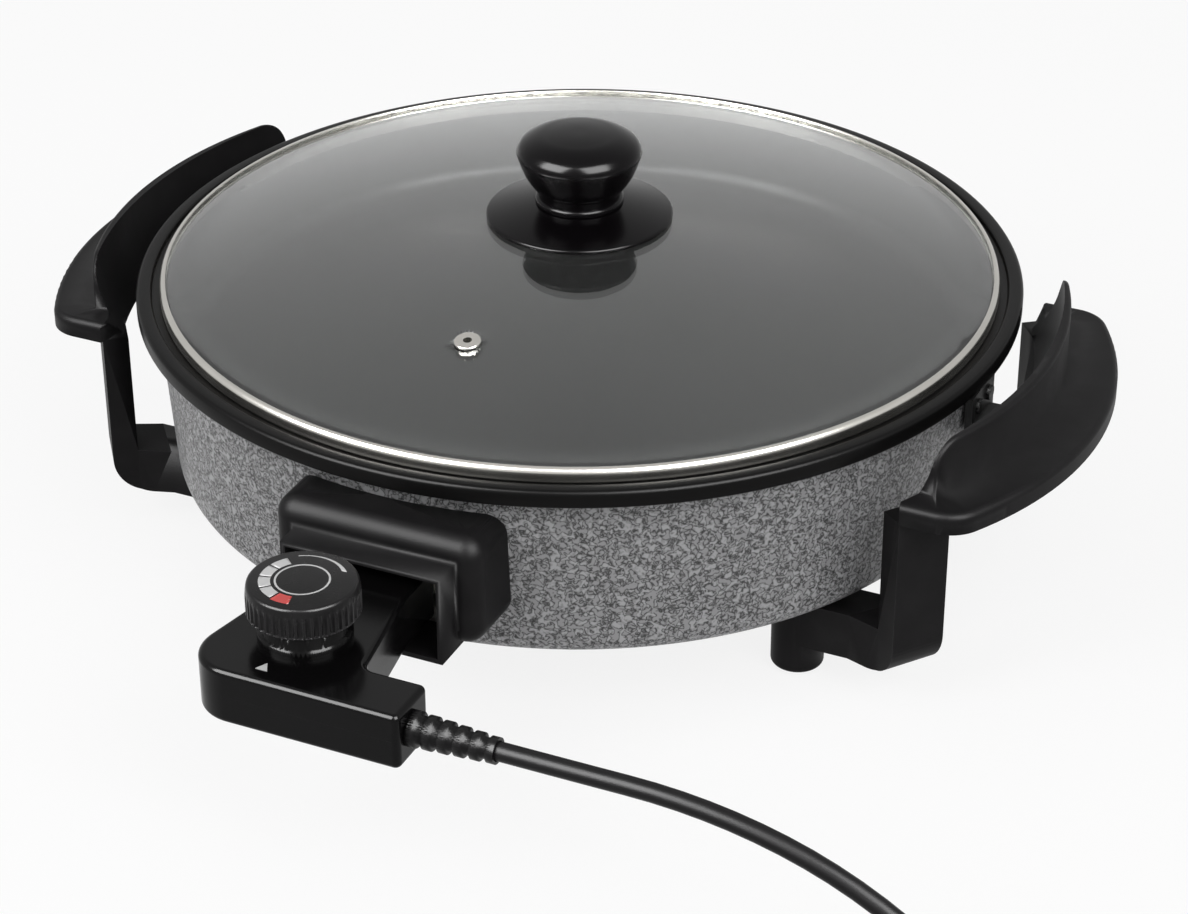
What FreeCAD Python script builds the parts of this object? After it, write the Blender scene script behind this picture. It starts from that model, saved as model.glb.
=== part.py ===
import FreeCAD, Part
import math
import os
import re
import Sketcher

V = FreeCAD.Vector

# Electric skillet: a round pan in a painted shell on two moulded handles with legs,
# a lift-off glass lid and a plug-in heat control with its cord.
# Sketch coordinates are taken from the pan's axis; z is the height above the table.
# The front, where the control plugs in, faces -Y; the handles point along X.

SIZES = [
    # Pan and rim
    ("rim_height", 131, "top of the rim above the table"),
    ("rim_radius", 205, "outside of the rim"),
    ("rim_drop", 8, "height of the rim's outer face"),
    ("rim_round", 1.8, "rounding of the rim's top edge"),
    ("rim_width", 7, "flat of the rim beside the ledge that carries the lid"),
    ("seat_depth", 2.5, "ledge below the rim's top"),
    ("seat_width", 6, "width of that ledge"),
    ("pan_depth", 42, "cooking floor below the rim's top"),
    ("pan_draft", 5, "pan narrower at its floor than at the ledge, on the radius"),
    ("pan_corner", 9, "inside corner of the pan"),
    ("pan_wall", 2.5, "thickness of the pan"),
    # Outer shell
    ("shell_inset", 8.7, "shell's top inside the rim's outside, on the radius"),
    ("shell_draft", 5.8, "shell narrower at its base than at its top, on the radius"),
    ("shell_base", 39.5, "underside of the shell above the table"),
    ("shell_corner", 11, "outer corner of the shell"),
    ("shell_wall", 0.8, "thickness of the shell"),
    ("panel_margin", 42, "flat ring of the shell's base round its raised middle"),
    ("panel_rise", 3, "rise of that middle"),
    ("window_half", 37, "half width of the window for the socket"),
    ("window_high", 33, "height of the window"),
    # Heating
    ("heater_height", 81, "axis of the element, the pins and the probe"),
    ("ring_margin", 32, "middle of the element's ring inside the plate's edge"),
    ("tube_dia", 7, "element tube"),
    ("pin_spread", 36, "distance between the two pins"),
    ("pin_dia", 4.8, "bare pins in the socket"),
    ("pin_out", 7, "pin tips in front of the shroud's face"),
    ("leg_bend", 16, "bend between the ring and its cold ends"),
    ("plate_margin", 35, "plate inside the pan's floor, on the radius"),
    ("plate_boss", 13, "radius of the plate's middle boss"),
    ("plate_boss_drop", 17, "length of that boss"),
    ("groove_play", 0.3, "clearance of the element in its groove"),
    ("guide_dia", 9.6, "tube that guides the probe"),
    ("guide_bore", 6.8, "bore of that tube"),
    ("guide_in", 24, "blind end of the guide inside the element's ring"),
    ("bolt_dia", 8, "tie bolt in the middle"),
    ("bolt_head", 14, "across the bolt's head"),
    ("bolt_head_thick", 5, "thickness of that head"),
    ("spacer_dia", 22, "spacer tube round the bolt"),
    # Socket
    ("socket_shift", 5, "socket to the right of the pan's middle"),
    ("shroud_half", 48.5, "half width of the shroud"),
    ("shroud_out", 19.7, "front face of the shroud before the shell's top"),
    ("shroud_low", 61, "underside of the shroud"),
    ("shroud_high", 113, "top of the shroud"),
    ("shroud_round", 9.5, "rounded edges of the shroud"),
    ("collar_half", 37.5, "half width of the collar"),
    ("collar_reach", 12, "collar in front of the shroud"),
    ("collar_low", 59.5, "underside of the collar"),
    ("collar_high", 101, "top of the collar"),
    ("collar_wall", 2.2, "wall of the collar"),
    ("terminal_in", 13, "terminal plate behind the shroud's face"),
    ("terminal_thick", 3, "thickness of that plate"),
    ("bush_dia", 11, "ceramic bushes round the pins"),
    ("bush_reach", 5, "bush in front of the terminal plate"),
    ("screw_dia", 4, "small screws"),
    ("screw_head", 8, "heads of the small screws"),
    ("screw_head_thick", 2.4, "thickness of those heads"),
    ("shroud_screw_half", 43.5, "shroud screws from the socket's middle"),
    ("shroud_screw_reach", 11, "depth of those screws in the shroud"),
    # Handles with legs
    ("handle_shift", 3.5, "line of the handles in front of the pan's middle"),
    ("shelf_middle_in", 136, "centre of the shelf's outer edge inside the rim's outside"),
    ("shelf_radius", 184.5, "radius of the shelf's outer edge"),
    ("shelf_half", 102.5, "half length of the shelf"),
    ("shelf_end_inset", 8, "inner end of the shelf's short side inside the rim's outside"),
    ("shelf_end_round", 18, "outer corners of the shelf"),
    ("shelf_top", 108, "top of the shelf above the table"),
    ("shelf_thick", 9.5, "thickness of the shelf"),
    ("shelf_round", 3, "rounded edge of the shelf"),
    ("hollow_margin", 9, "solid margin round the hollow under the shelf"),
    ("hollow_depth", 6, "depth of that hollow"),
    ("rib_thick", 3, "ribs under the shelf"),
    ("cell_near", 20, "hollow under the shelf, its end near the bracket"),
    ("cell_rib", 44, "rib across that hollow"),
    ("cell_far", 68, "its end near the leg"),
    ("fin_middle_in", 175, "centre of the guard's outer curve inside the rim's outside"),
    ("fin_radius", 199, "radius of that curve"),
    ("fin_gap", 8, "gap between the rim and the guard at its foot"),
    ("fin_gap_top", 19.5, "gap between the rim and the guard at its top"),
    ("fin_scoop", 46, "radius of the guard's scooped inner face"),
    ("fin_top", 132.5, "top of the guard above the table"),
    ("fin_half", 89, "half length of the guard"),
    ("fin_round", 13, "rounded ends of the guard"),
    ("fin_edge", 1.8, "rounded top edge of the guard"),
    ("post_inset", 5, "middle of a leg's post inside the rim's outside"),
    ("post_along", 87.2, "middle of that post from the handles' line"),
    ("post_width", 26, "width of the post"),
    ("post_thick", 12, "thickness of the post"),
    ("post_turn", 53, "turn of the post in plan"),
    ("bar_low", 16, "underside of the leg's bar"),
    ("bar_high", 38.5, "top of the leg's bar"),
    ("bar_front", 89, "outer face of the bar from the handles' line"),
    ("bar_back", 67, "inner face of the bar"),
    ("flare_inset", 33, "where the bar widens to the post outside, inside the rim's outside"),
    ("flare_inset_in", 15, "where it does inside"),
    ("leg_round", 18, "lower outer corner of the leg"),
    ("foot_inset", 46, "middle of a foot inside the shell's base, on the radius"),
    ("foot_along", 78, "middle of a foot from the handles' line"),
    ("foot_dia", 24, "outside of the foot"),
    ("foot_hole", 4.6, "hole for the foot's screw"),
    ("foot_recess", 14, "recess in the foot"),
    ("foot_recess_deep", 20, "depth of that recess"),
    ("pad_stand", 1, "rubber pad below the foot"),
    ("pad_thick", 6, "thickness of the pad"),
    ("nut_dia", 9, "weld nuts in the shell"),
    ("nut_high", 5, "height of those nuts"),
    ("bracket_half", 15, "half width of a handle bracket"),
    ("bracket_thick", 3.5, "thickness of the bracket"),
    ("bracket_high", 115, "top of the bracket"),
    ("bracket_out", 31, "end of the bracket outside the rim"),
    ("bracket_hole_out", 19, "screw in the bracket outside the rim"),
    ("bracket_screw_spread", 14, "distance between the bracket's screws"),
    ("rivet_dia", 4, "rivets of the bracket"),
    ("rivet_head", 7, "heads of those rivets"),
    ("seat_play", 0.3, "clearance beside curved neighbours"),
    # Lid
    ("lid_margin", 1.2, "glass inside the band, on the radius"),
    ("lid_rise", 25.4, "rise of the glass dome"),
    ("lid_edge", 2.6, "glass edge above the rim's top"),
    ("glass_thick", 4, "thickness of the glass"),
    ("band_play", 4, "band inside the ledge's wall, on the radius"),
    ("band_top", 3.8, "outer top edge of the band above the rim's top"),
    ("band_lap_rise", 0.7, "rise of the band's lap to its inner edge"),
    ("band_wall", 0.8, "thickness of the band"),
    ("band_skirt", 6, "part of the band inside the pan"),
    ("band_lap", 3.3, "band over the glass"),
    ("band_seat", 3.6, "width of the band on the pan's ledge"),
    ("vent_angle", 271, "direction of the steam vent"),
    ("vent_radius", 119.5, "steam vent from the knob"),
    ("vent_dia", 12, "outside of the vent's eyelet"),
    ("vent_bore", 4, "hole in the eyelet"),
    ("vent_hole", 9, "hole in the glass for the eyelet"),
    ("vent_thick", 1.2, "flanges of the eyelet"),
    ("skirt_radius", 43, "guard disc under the knob"),
    ("skirt_rise", 6, "height of that disc's cone"),
    ("skirt_edge", 1.6, "edge of the disc"),
    ("skirt_drop", 1, "edge of the disc below the middle of the glass"),
    ("knob_radius", 29, "widest part of the knob"),
    ("knob_neck", 19.5, "neck of the knob"),
    ("knob_wide_at", 28.6, "height of its widest part above the glass"),
    ("knob_base", 20.4, "ring at the foot of the knob"),
    ("knob_base_high", 2.6, "height of that ring"),
    ("knob_taper", 42, "radius of the side that widens upward"),
    ("knob_over", 8, "rounding above the widest part"),
    ("knob_crown", 2.5, "rise of the slightly domed top"),
    ("knob_dome", 90, "radius of that top"),
    ("knob_flat", 2, "flat in the middle of that top"),
    ("lid_screw_dia", 5, "screw of the knob"),
    ("lid_screw_reach", 22, "length of that screw in the knob"),
    ("washer_dia", 20, "seal washers on the glass"),
    ("washer_thick", 1.5, "thickness of those washers"),
    # Heat control
    ("control_low", 67.8, "underside of the control"),
    ("control_split", 81, "parting line of the control"),
    ("control_high", 93, "top of the control"),
    ("control_reach", 96, "front of the control before the shroud's face"),
    ("control_left", 40, "front left corner from the neck's middle"),
    ("control_right", 61.5, "right end from the neck's middle"),
    ("arm_width", 26, "width of the cord arm"),
    ("control_round", 19, "front left corner"),
    ("cavity_bevel", 21, "bevel inside the front left corner"),
    ("control_end_round", 3, "corners of the cord arm"),
    ("control_elbow", 6, "inner corner between neck and arm"),
    ("control_edge", 2.5, "rounded edges of the housing"),
    ("control_post", 7, "screw posts inside"),
    ("post_margin", 12, "those posts from the sides of the housing"),
    ("control_screw", 2.6, "screws of the control"),
    ("control_screw_head", 5, "heads of those screws"),
    ("control_sink", 4, "depth of their recesses"),
    ("block_half", 21, "half width of the thermostat"),
    ("block_back", 24, "front of the thermostat behind the control's front"),
    ("block_high", 14, "height of the thermostat"),
    ("control_wall", 2, "wall of the housing"),
    ("neck_half", 24, "half width of the neck in the socket"),
    ("neck_wide", 33, "half width of the neck at the body"),
    ("neck_out", 16, "where the neck starts to widen, before the shroud's face"),
    ("neck_in", 7.5, "end of the neck behind the shroud's face"),
    ("dial_back", 38, "dial axis behind the control's front"),
    ("dial_radius", 23, "knurled skirt of the dial"),
    ("dial_crown", 20.4, "top of the dial"),
    ("dial_low", 104.7, "underside of the dial"),
    ("dial_high", 118.5, "top of the dial"),
    ("dial_skirt", 7, "height of the knurled skirt"),
    ("knurl_count", 44, "grooves of the knurl"),
    ("knurl_deep", 0.8, "depth of a groove"),
    ("collar_ring", 18, "stepped collar under the dial"),
    ("collar_step", 1.6, "step of that collar"),
    ("spindle_dia", 6, "spindle of the dial"),
    ("probe_dia", 6, "probe rod"),
    ("probe_gap", 8, "probe's tip from the blind end of its guide"),
    ("sleeve_dia", 7, "contact sleeves for the pins"),
    ("sleeve_bore", 5.4, "bore of those sleeves"),
    ("sleeve_out", 22, "closed end of the sleeves before the shroud's face"),
    # Cord and plug
    ("cord_dia", 8, "supply cord"),
    ("relief_back", 12, "strain relief behind the control's front"),
    ("relief_long", 37.5, "length of the relief outside the housing"),
    ("relief_dia", 15, "relief at the housing"),
    ("relief_tip", 11, "relief at its end"),
    ("relief_ribs", 5, "rings of the relief"),
    ("cord_level", 4, "cord's axis when it lies on the table"),
    ("coil_loops", 4, "loops of the put-away coil, in two layers"),
    ("coil_outer", 52, "outer loop of the coil, at the cord's axis"),
    ("coil_pitch", 8.6, "step from loop to loop and layer to layer"),
    ("plug_dia", 37, "body of the mains plug"),
    ("plug_long", 34, "length of that body"),
    ("plug_neck", 17, "grip end of the plug"),
    ("plug_neck_long", 26, "length of the grip"),
    ("plug_pin_dia", 4.8, "contact pins"),
    ("plug_pin_long", 19, "length of those pins"),
    ("plug_pin_spread", 19, "distance between the pins"),
]

doc = FreeCAD.newDocument("electric_skillet")
sheet = doc.addObject("Spreadsheet::Sheet", "sizes")
NAMES = set()
for row, (alias, number, note) in enumerate(SIZES, start=1):
    sheet.set("A%d" % row, note)
    sheet.set("B%d" % row, str(number))
    sheet.setAlias("B%d" % row, alias)
    NAMES.add(alias)
doc.recompute()

PARTS = []

# Places worked out from the sizes, each from its neighbour
PLACES = {
    "seat_radius": "rim_radius - rim_width",
    "pan_bore": "seat_radius - seat_width",
    "pan_floor_radius": "pan_bore - pan_draft",
    "shell_top_radius": "rim_radius - shell_inset",
    "shell_base_radius": "shell_top_radius - shell_draft",
    "panel_radius": "shell_base_radius - panel_margin",
    "plate_radius": "pan_floor_radius - plate_margin",
    "ring_radius": "plate_radius - ring_margin",
    "guide_end": "ring_radius - guide_in",
    "probe_end": "guide_end + probe_gap",
    "band_radius": "seat_radius - band_play",
    "lid_radius": "band_radius - lid_margin",
    "shroud_front": "shell_top_radius + shroud_out",
    "terminal_front": "shroud_front - terminal_in",
    "pin_reach": "shroud_front + pin_out",
    "neck_end": "shroud_front - neck_in",
    "neck_mouth": "shroud_front + neck_out",
    "sleeve_back": "shroud_front + sleeve_out",
    "control_front": "shroud_front + control_reach",
    "control_arm_back": "control_front - arm_width",
    "block_front": "control_front - block_back",
    "dial_place": "control_front - dial_back",
    "relief_place": "control_front - relief_back",
    "shelf_middle": "rim_radius - shelf_middle_in",
    "shelf_end_in": "rim_radius - shelf_end_inset",
    "fin_middle": "rim_radius - fin_middle_in",
    "fin_in_radius": "rim_radius + fin_gap",
    "fin_in_top": "rim_radius + fin_gap_top",
    "post_across": "rim_radius - post_inset",
    "bar_flare": "rim_radius - flare_inset",
    "bar_flare_in": "rim_radius - flare_inset_in",
    "foot_across": "shell_base_radius - foot_inset",
    "bracket_reach": "rim_radius + bracket_out",
    "bracket_hole": "rim_radius + bracket_hole_out",
}


def bind(text):
    """Write a formula of size and place names as an expression on the sheet."""
    def word(found):
        name = found.group()
        if name in PLACES:
            return "(%s)" % bind(PLACES[name])
        return "sizes." + name if name in NAMES else name
    return re.sub(r"[a-z_]+", word, str(text))


def val(text):
    """Value of a formula of size names."""
    return float(sheet.evalExpression(bind(text)))


# Places that several pieces share
AXIS_BACK = "(control_front - rim_radius) / 2"
FLOOR = "rim_height - pan_depth"
PAN_UNDER = "rim_height - pan_depth - pan_wall"
SEAT = "rim_height - seat_depth"
GLASS_TOP = "rim_height + lid_edge + lid_rise"
SHELF_UNDER = "shelf_top - shelf_thick"
PLUG_X = "socket_shift"
HANDLE_Y = "-handle_shift"


def body(label, x="0", y="0"):
    """A body at a place in plan, measured from the pan's axis and named after its piece."""
    made = doc.addObject("PartDesign::Body", label + "_body")
    made.Label = label
    if x != "0":
        made.setExpression(".Placement.Base.x", bind(x))
    made.setExpression(".Placement.Base.y", bind("(%s) + %s" % (y, AXIS_BACK)))
    PARTS.append(made)
    return made


def sketch(owner, name, role="XY_Plane", lift="0"):
    """An empty sketch on one of the body's own planes, moved along its normal."""
    drawn = owner.newObject("Sketcher::SketchObject", name)
    plane = [f for f in owner.Origin.OriginFeatures if f.Role == role][0]
    drawn.AttachmentSupport = [(plane, "")]
    drawn.MapMode = "FlatFace"
    if lift != "0":
        drawn.setExpression(".AttachmentOffset.Base.z", bind(lift))
    return drawn


def outline(drawn, corners, bends=None):
    """Closed outline. corners holds formulas for x and y; bends maps the number of a
    side to the radius of its arc, positive where the side bulges to its right."""
    bends = bends or {}
    points = [V(val(x), val(y), 0) for x, y in corners]
    count = len(points)
    shapes = []
    flipped = []
    for i in range(count):
        start, end = points[i], points[(i + 1) % count]
        if i not in bends:
            shapes.append(Part.LineSegment(start, end))
            flipped.append(False)
            continue
        radius = val(bends[i][0])
        side = bends[i][1]
        half = (end - start) / 2
        normal = V(-half.y, half.x, 0)
        normal.normalize()
        reach = math.sqrt(max(radius ** 2 - half.Length ** 2, 0))
        centre = start + half + normal * reach * side
        low = math.atan2(start.y - centre.y, start.x - centre.x)
        high = math.atan2(end.y - centre.y, end.x - centre.x)
        circle = Part.Circle(centre, V(0, 0, 1), radius)
        if side > 0:
            shapes.append(Part.ArcOfCircle(circle, low, high))
            flipped.append(False)
        else:
            shapes.append(Part.ArcOfCircle(circle, high, low))
            flipped.append(True)
    base = drawn.GeometryCount
    drawn.addGeometry(shapes, False)
    rules = []
    formulas = []
    for i in range(count):
        follow = (i + 1) % count
        first = 1 if flipped[i] else 2
        second = 2 if flipped[follow] else 1
        rules.append(Sketcher.Constraint("Coincident", base + i, first, base + follow, second))
        own = 2 if flipped[i] else 1
        for axis, text, number in (("X", corners[i][0], points[i].x), ("Y", corners[i][1], points[i].y)):
            if text == "0":
                rules.append(Sketcher.Constraint("PointOnObject", base + i, own, -2 if axis == "X" else -1))
                continue
            formulas.append((len(rules), text))
            rules.append(Sketcher.Constraint("Distance" + axis, -1, 1, base + i, own, number))
        if i in bends:
            formulas.append((len(rules), bends[i][0]))
            rules.append(Sketcher.Constraint("Radius", base + i, val(bends[i][0])))
    offset = drawn.ConstraintCount
    drawn.addConstraint(rules)
    for index, text in formulas:
        drawn.setExpression("Constraints[%d]" % (offset + index), bind(text))
    return drawn


def ring(drawn, x, y, diameter):
    """A circle whose place and diameter follow the sheet."""
    base = drawn.GeometryCount
    offset = drawn.ConstraintCount
    drawn.addGeometry(Part.Circle(V(val(x), val(y), 0), V(0, 0, 1), val(diameter) / 2), False)
    index = offset
    for axis, text in (("X", x), ("Y", y)):
        if text == "0":
            drawn.addConstraint(Sketcher.Constraint("PointOnObject", base, 3, -2 if axis == "X" else -1))
        else:
            drawn.addConstraint(Sketcher.Constraint("Distance" + axis, -1, 1, base, 3, val(text)))
            drawn.setExpression("Constraints[%d]" % index, bind(text))
        index += 1
    drawn.addConstraint(Sketcher.Constraint("Diameter", base, val(diameter)))
    drawn.setExpression("Constraints[%d]" % index, bind(diameter))
    return drawn


def sound(made):
    """Stop at a step that could not be worked out."""
    if "Invalid" in made.State or made.Shape.isNull() or not made.Shape.isValid():
        raise RuntimeError("%s is not valid: %s" % (made.Name, made.State))
    return made


def pad(owner, drawn, length, name, back=False):
    made = owner.newObject("PartDesign::Pad", name)
    made.Profile = drawn
    made.setExpression("Length", bind(length))
    made.Reversed = back
    doc.recompute()
    return sound(made)


def pocket(owner, drawn, length, name, back=False):
    """Cut along the sketch's normal, or against it where back is set."""
    before = owner.Shape.Volume
    made = owner.newObject("PartDesign::Pocket", name)
    made.Profile = drawn
    made.setExpression("Length", bind(length))
    made.Reversed = not back
    doc.recompute()
    if owner.Shape.Volume > before - 0.001:
        raise RuntimeError(name + " cuts nothing")
    return sound(made)


def spin(owner, drawn, name, cut=False):
    """Turn a sketch of radius and height once round the pan's axis."""
    made = owner.newObject("PartDesign::Groove" if cut else "PartDesign::Revolution", name)
    made.Profile = drawn
    made.ReferenceAxis = (drawn, ["V_Axis"])
    made.Angle = 360
    doc.recompute()
    return sound(made)


def turned(label, corners, bends=None, x="0", y="0"):
    """A body turned from one outline of radius and height."""
    made = body(label, x, y)
    spin(made, outline(sketch(made, label + "_section", "XZ_Plane"), corners, bends), label + "_turn")
    return made


def soften(owner, radius, chosen, name):
    """Round the edges that chosen accepts."""
    base = owner.Tip
    edges = ["Edge%d" % (i + 1) for i, edge in enumerate(base.Shape.Edges) if chosen(edge)]
    if not edges:
        raise RuntimeError(name + " finds no edge")
    made = owner.newObject("PartDesign::Fillet", name)
    made.Base = (base, edges)
    made.setExpression("Radius", bind(radius))
    doc.recompute()
    return sound(made)


def level(edge, height):
    """True for an edge that lies at one height."""
    box = edge.BoundBox
    return abs(box.ZMin - height) < 0.01 and abs(box.ZMax - height) < 0.01


def upright(edge, x, y, near=0.6):
    """True for a vertical edge at a place in plan."""
    box = edge.BoundBox
    middle = box.Center
    return box.ZLength > 1 and box.XLength < 0.01 and box.YLength < 0.01 and math.hypot(middle.x - x, middle.y - y) < near


def round_edge(edge, radius, height):
    """True for a full circle about the pan's axis."""
    if edge.Degenerated:
        return False
    curve = edge.Curve
    if not isinstance(curve, Part.Circle):
        return False
    return abs(curve.Radius - radius) < 0.05 and abs(curve.Center.z - height) < 0.05


def rod(label, x, y, low, diameter, length, direction=(0, 0, 1)):
    """A round bar from one point along a direction."""
    made = doc.addObject("Part::Cylinder", label + "_rod")
    made.setExpression("Radius", bind("(%s) / 2" % diameter))
    made.setExpression("Height", bind(length))
    made.Placement = FreeCAD.Placement(V(0, 0, 0), FreeCAD.Rotation(V(0, 0, 1), V(*direction)))
    made.setExpression(".Placement.Base.x", bind(x))
    made.setExpression(".Placement.Base.y", bind("(%s) + %s" % (y, AXIS_BACK)))
    made.setExpression(".Placement.Base.z", bind(low))
    return made


def joined(label, tools):
    """One node of several solids."""
    if len(tools) == 1:
        made = tools[0]
    else:
        made = doc.addObject("Part::Compound", label + "_set")
        made.Links = tools
    made.Label = label
    PARTS.append(made)
    return made


def fused(label, tools):
    """One solid of several overlapping ones."""
    made = doc.addObject("Part::MultiFuse", label + "_fuse")
    made.Shapes = tools
    made.Label = label
    PARTS.append(made)
    return made


# Pan with its stepped rim
RIM_IN = "rim_radius - pan_wall"
STEP_OUT = "seat_radius + pan_wall"
pan = turned("cooking_pan", [
    ("0", PAN_UNDER),
    ("pan_floor_radius + pan_wall", PAN_UNDER),
    ("pan_bore + pan_wall", "rim_height - seat_depth - pan_wall"),
    (STEP_OUT, "rim_height - seat_depth - pan_wall"),
    (STEP_OUT, "rim_height - pan_wall"),
    (RIM_IN, "rim_height - pan_wall"),
    (RIM_IN, "rim_height - rim_drop"),
    ("rim_radius", "rim_height - rim_drop"),
    ("rim_radius", "rim_height"),
    ("seat_radius", "rim_height"),
    ("seat_radius", SEAT),
    ("pan_bore", SEAT),
    ("pan_floor_radius", FLOOR),
    ("0", FLOOR),
])
soften(pan, "pan_corner", lambda e: round_edge(e, val("pan_floor_radius"), val(FLOOR)), "pan_inner_corner")
soften(pan, "pan_corner + pan_wall",
       lambda e: round_edge(e, val("pan_floor_radius + pan_wall"), val(PAN_UNDER)), "pan_outer_corner")
soften(pan, "rim_round", lambda e: round_edge(e, val("rim_radius"), val("rim_height")), "rim_top_edge")

# Painted outer shell, with a raised middle in its base
SHELL_TOP = "rim_height - seat_depth - pan_wall"
SLOPE = "(shell_top_radius - shell_base_radius) / (%s - shell_base)" % SHELL_TOP
shell = turned("outer_shell", [
    ("0", "shell_base + panel_rise"),
    ("panel_radius", "shell_base + panel_rise"),
    ("panel_radius + panel_rise", "shell_base"),
    ("shell_base_radius", "shell_base"),
    ("shell_top_radius", SHELL_TOP),
    ("shell_top_radius - shell_wall", SHELL_TOP),
    ("shell_base_radius - shell_wall", "shell_base + shell_wall"),
    ("panel_radius + panel_rise", "shell_base + shell_wall"),
    ("panel_radius", "shell_base + panel_rise + shell_wall"),
    ("0", "shell_base + panel_rise + shell_wall"),
])
soften(shell, "shell_corner", lambda e: round_edge(e, val("shell_base_radius"), val("shell_base")), "shell_corner_out")
soften(shell, "shell_corner - shell_wall",
       lambda e: round_edge(e, val("shell_base_radius - shell_wall"), val("shell_base + shell_wall")), "shell_corner_in")
WINDOW_LOW = "heater_height - window_high / 2"
WINDOW_HIGH = "heater_height + window_high / 2"
LEFT_OF_SOCKET = PLUG_X + " - "
RIGHT_OF_SOCKET = PLUG_X + " + "
window = outline(sketch(shell, "window", "XZ_Plane", "shroud_front"), [
    (LEFT_OF_SOCKET + "window_half", WINDOW_LOW),
    (RIGHT_OF_SOCKET + "window_half", WINDOW_LOW),
    (RIGHT_OF_SOCKET + "window_half", WINDOW_HIGH),
    (LEFT_OF_SOCKET + "window_half", WINDOW_HIGH),
])
pocket(shell, window, "shroud_front - plate_radius", "window_cut", back=True)
holes = sketch(shell, "base_holes")
ring(holes, "0", "0", "bolt_dia + 0.6")
for side in ("", "-"):
    for end in ("", "-"):
        ring(holes, side + "foot_across", "%s %s foot_along" % (HANDLE_Y, end or "+"), "foot_hole")
pocket(shell, holes, "shell_base + 2 * shell_corner", "base_holes_cut", back=False)
wall_holes = sketch(shell, "wall_holes", "XZ_Plane", "shell_base_radius - 2 * shell_corner")
for side in ("-", "+"):
    ring(wall_holes, "%s %s shroud_screw_half" % (PLUG_X, side), "heater_height", "screw_dia + 0.6")
pocket(shell, wall_holes, "3 * shell_corner", "wall_holes_cut", back=False)

# Spreader plate with the element's groove, the probe's groove and a middle boss
plate = turned("spreader_plate", [
    ("0", "heater_height - plate_boss_drop"),
    ("plate_boss", "heater_height - plate_boss_drop"),
    ("plate_boss", "heater_height"),
    ("plate_radius", "heater_height"),
    ("plate_radius", PAN_UNDER),
    ("0", PAN_UNDER),
])
GROOVE = "tube_dia / 2 + groove_play"
groove = outline(sketch(plate, "element_groove", "XZ_Plane"), [
    ("ring_radius - tube_dia / 2 - groove_play", "heater_height"),
    ("ring_radius + tube_dia / 2 + groove_play", "heater_height"),
], {1: (GROOVE, 1)})
spin(plate, groove, "element_groove_cut", cut=True)
channels = sketch(plate, "channels", "XZ_Plane", "plate_radius + 1")
for place in ("- pin_spread / 2", "+ pin_spread / 2"):
    ring(channels, PLUG_X + place, "heater_height", "tube_dia + 2 * groove_play")
pocket(plate, channels, "plate_radius + 1 - ring_radius - tube_dia", "channels_cut", back=True)
probe_channel = sketch(plate, "probe_channel", "XZ_Plane", "plate_radius + 1")
ring(probe_channel, PLUG_X, "heater_height", "guide_dia + 2 * groove_play")
pocket(plate, probe_channel, "plate_radius + 1 - guide_end + groove_play", "probe_channel_cut", back=True)
thread = sketch(plate, "bolt_hole", lift="heater_height - plate_boss_drop")
ring(thread, "0", "0", "bolt_dia + 0.1")
pocket(plate, thread, "plate_boss_drop + 2", "bolt_hole_cut", back=False)

# Tie bolt and spacer between the plate and the shell's base
bolt = rod("bolt_shaft", "0", "0", "shell_base + panel_rise", "bolt_dia", "heater_height - shell_base - panel_rise")
head = doc.addObject("Part::Prism", "bolt_head_prism")
head.Polygon = 6
head.setExpression("Circumradius", bind("bolt_head / 2 / cos(30 deg)"))
head.setExpression("Height", bind("bolt_head_thick"))
head.setExpression(".Placement.Base.y", bind(AXIS_BACK))
head.setExpression(".Placement.Base.z", bind("shell_base + panel_rise - bolt_head_thick"))
fused("tie_bolt", [bolt, head])
turned("spacer_tube", [
    ("bolt_dia / 2 + 0.3", "shell_base + panel_rise + shell_wall"),
    ("spacer_dia / 2", "shell_base + panel_rise + shell_wall"),
    ("spacer_dia / 2", "heater_height - plate_boss_drop"),
    ("bolt_dia / 2 + 0.3", "heater_height - plate_boss_drop"),
])

# Heating element: cold ends, two bends and a ring, in one tube
ring_r = val("ring_radius")
bend_r = val("leg_bend")
height = val("heater_height")
back_y = val(AXIS_BACK)
COLD_END = "terminal_front - terminal_thick - 6"


def tangent_bend(x, side):
    """Centre of the bend beside a cold end, and where it meets the ring."""
    cx = x + side * bend_r
    cy = -math.sqrt((ring_r + bend_r) ** 2 - cx ** 2)
    reach = ring_r / (ring_r + bend_r)
    return V(cx, cy, height), V(cx * reach, cy * reach, height)


def middle_of_arc(start, end, centre):
    """Point halfway along the shorter arc from start to end."""
    toward = (start + end) / 2 - centre
    toward.normalize()
    return centre + toward * (start - centre).Length


left_x = val(PLUG_X + " - pin_spread / 2")
right_x = val(PLUG_X + " + pin_spread / 2")
left_bend, left_ring = tangent_bend(left_x, -1)
right_bend, right_ring = tangent_bend(right_x, 1)
left_top = V(left_x, left_bend.y, height)
right_top = V(right_x, right_bend.y, height)
left_foot = V(left_x, -val(COLD_END), height)
right_foot = V(right_x, -val(COLD_END), height)
element_path = Part.Wire([
    Part.LineSegment(left_foot, left_top).toShape(),
    Part.Arc(left_top, middle_of_arc(left_top, left_ring, left_bend), left_ring).toShape(),
    Part.Arc(left_ring, V(0, ring_r, height), right_ring).toShape(),
    Part.Arc(right_ring, middle_of_arc(right_ring, right_top, right_bend), right_top).toShape(),
    Part.LineSegment(right_top, right_foot).toShape(),
])


def tube(path, diameter):
    """Round tube along a wire of lines and arcs."""
    first = path.Edges[0]
    start = first.valueAt(first.FirstParameter)
    direction = first.tangentAt(first.FirstParameter)
    section = Part.Wire([Part.Circle(start, direction, diameter / 2).toShape()])
    return path.makePipeShell([section], True, False)


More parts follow.
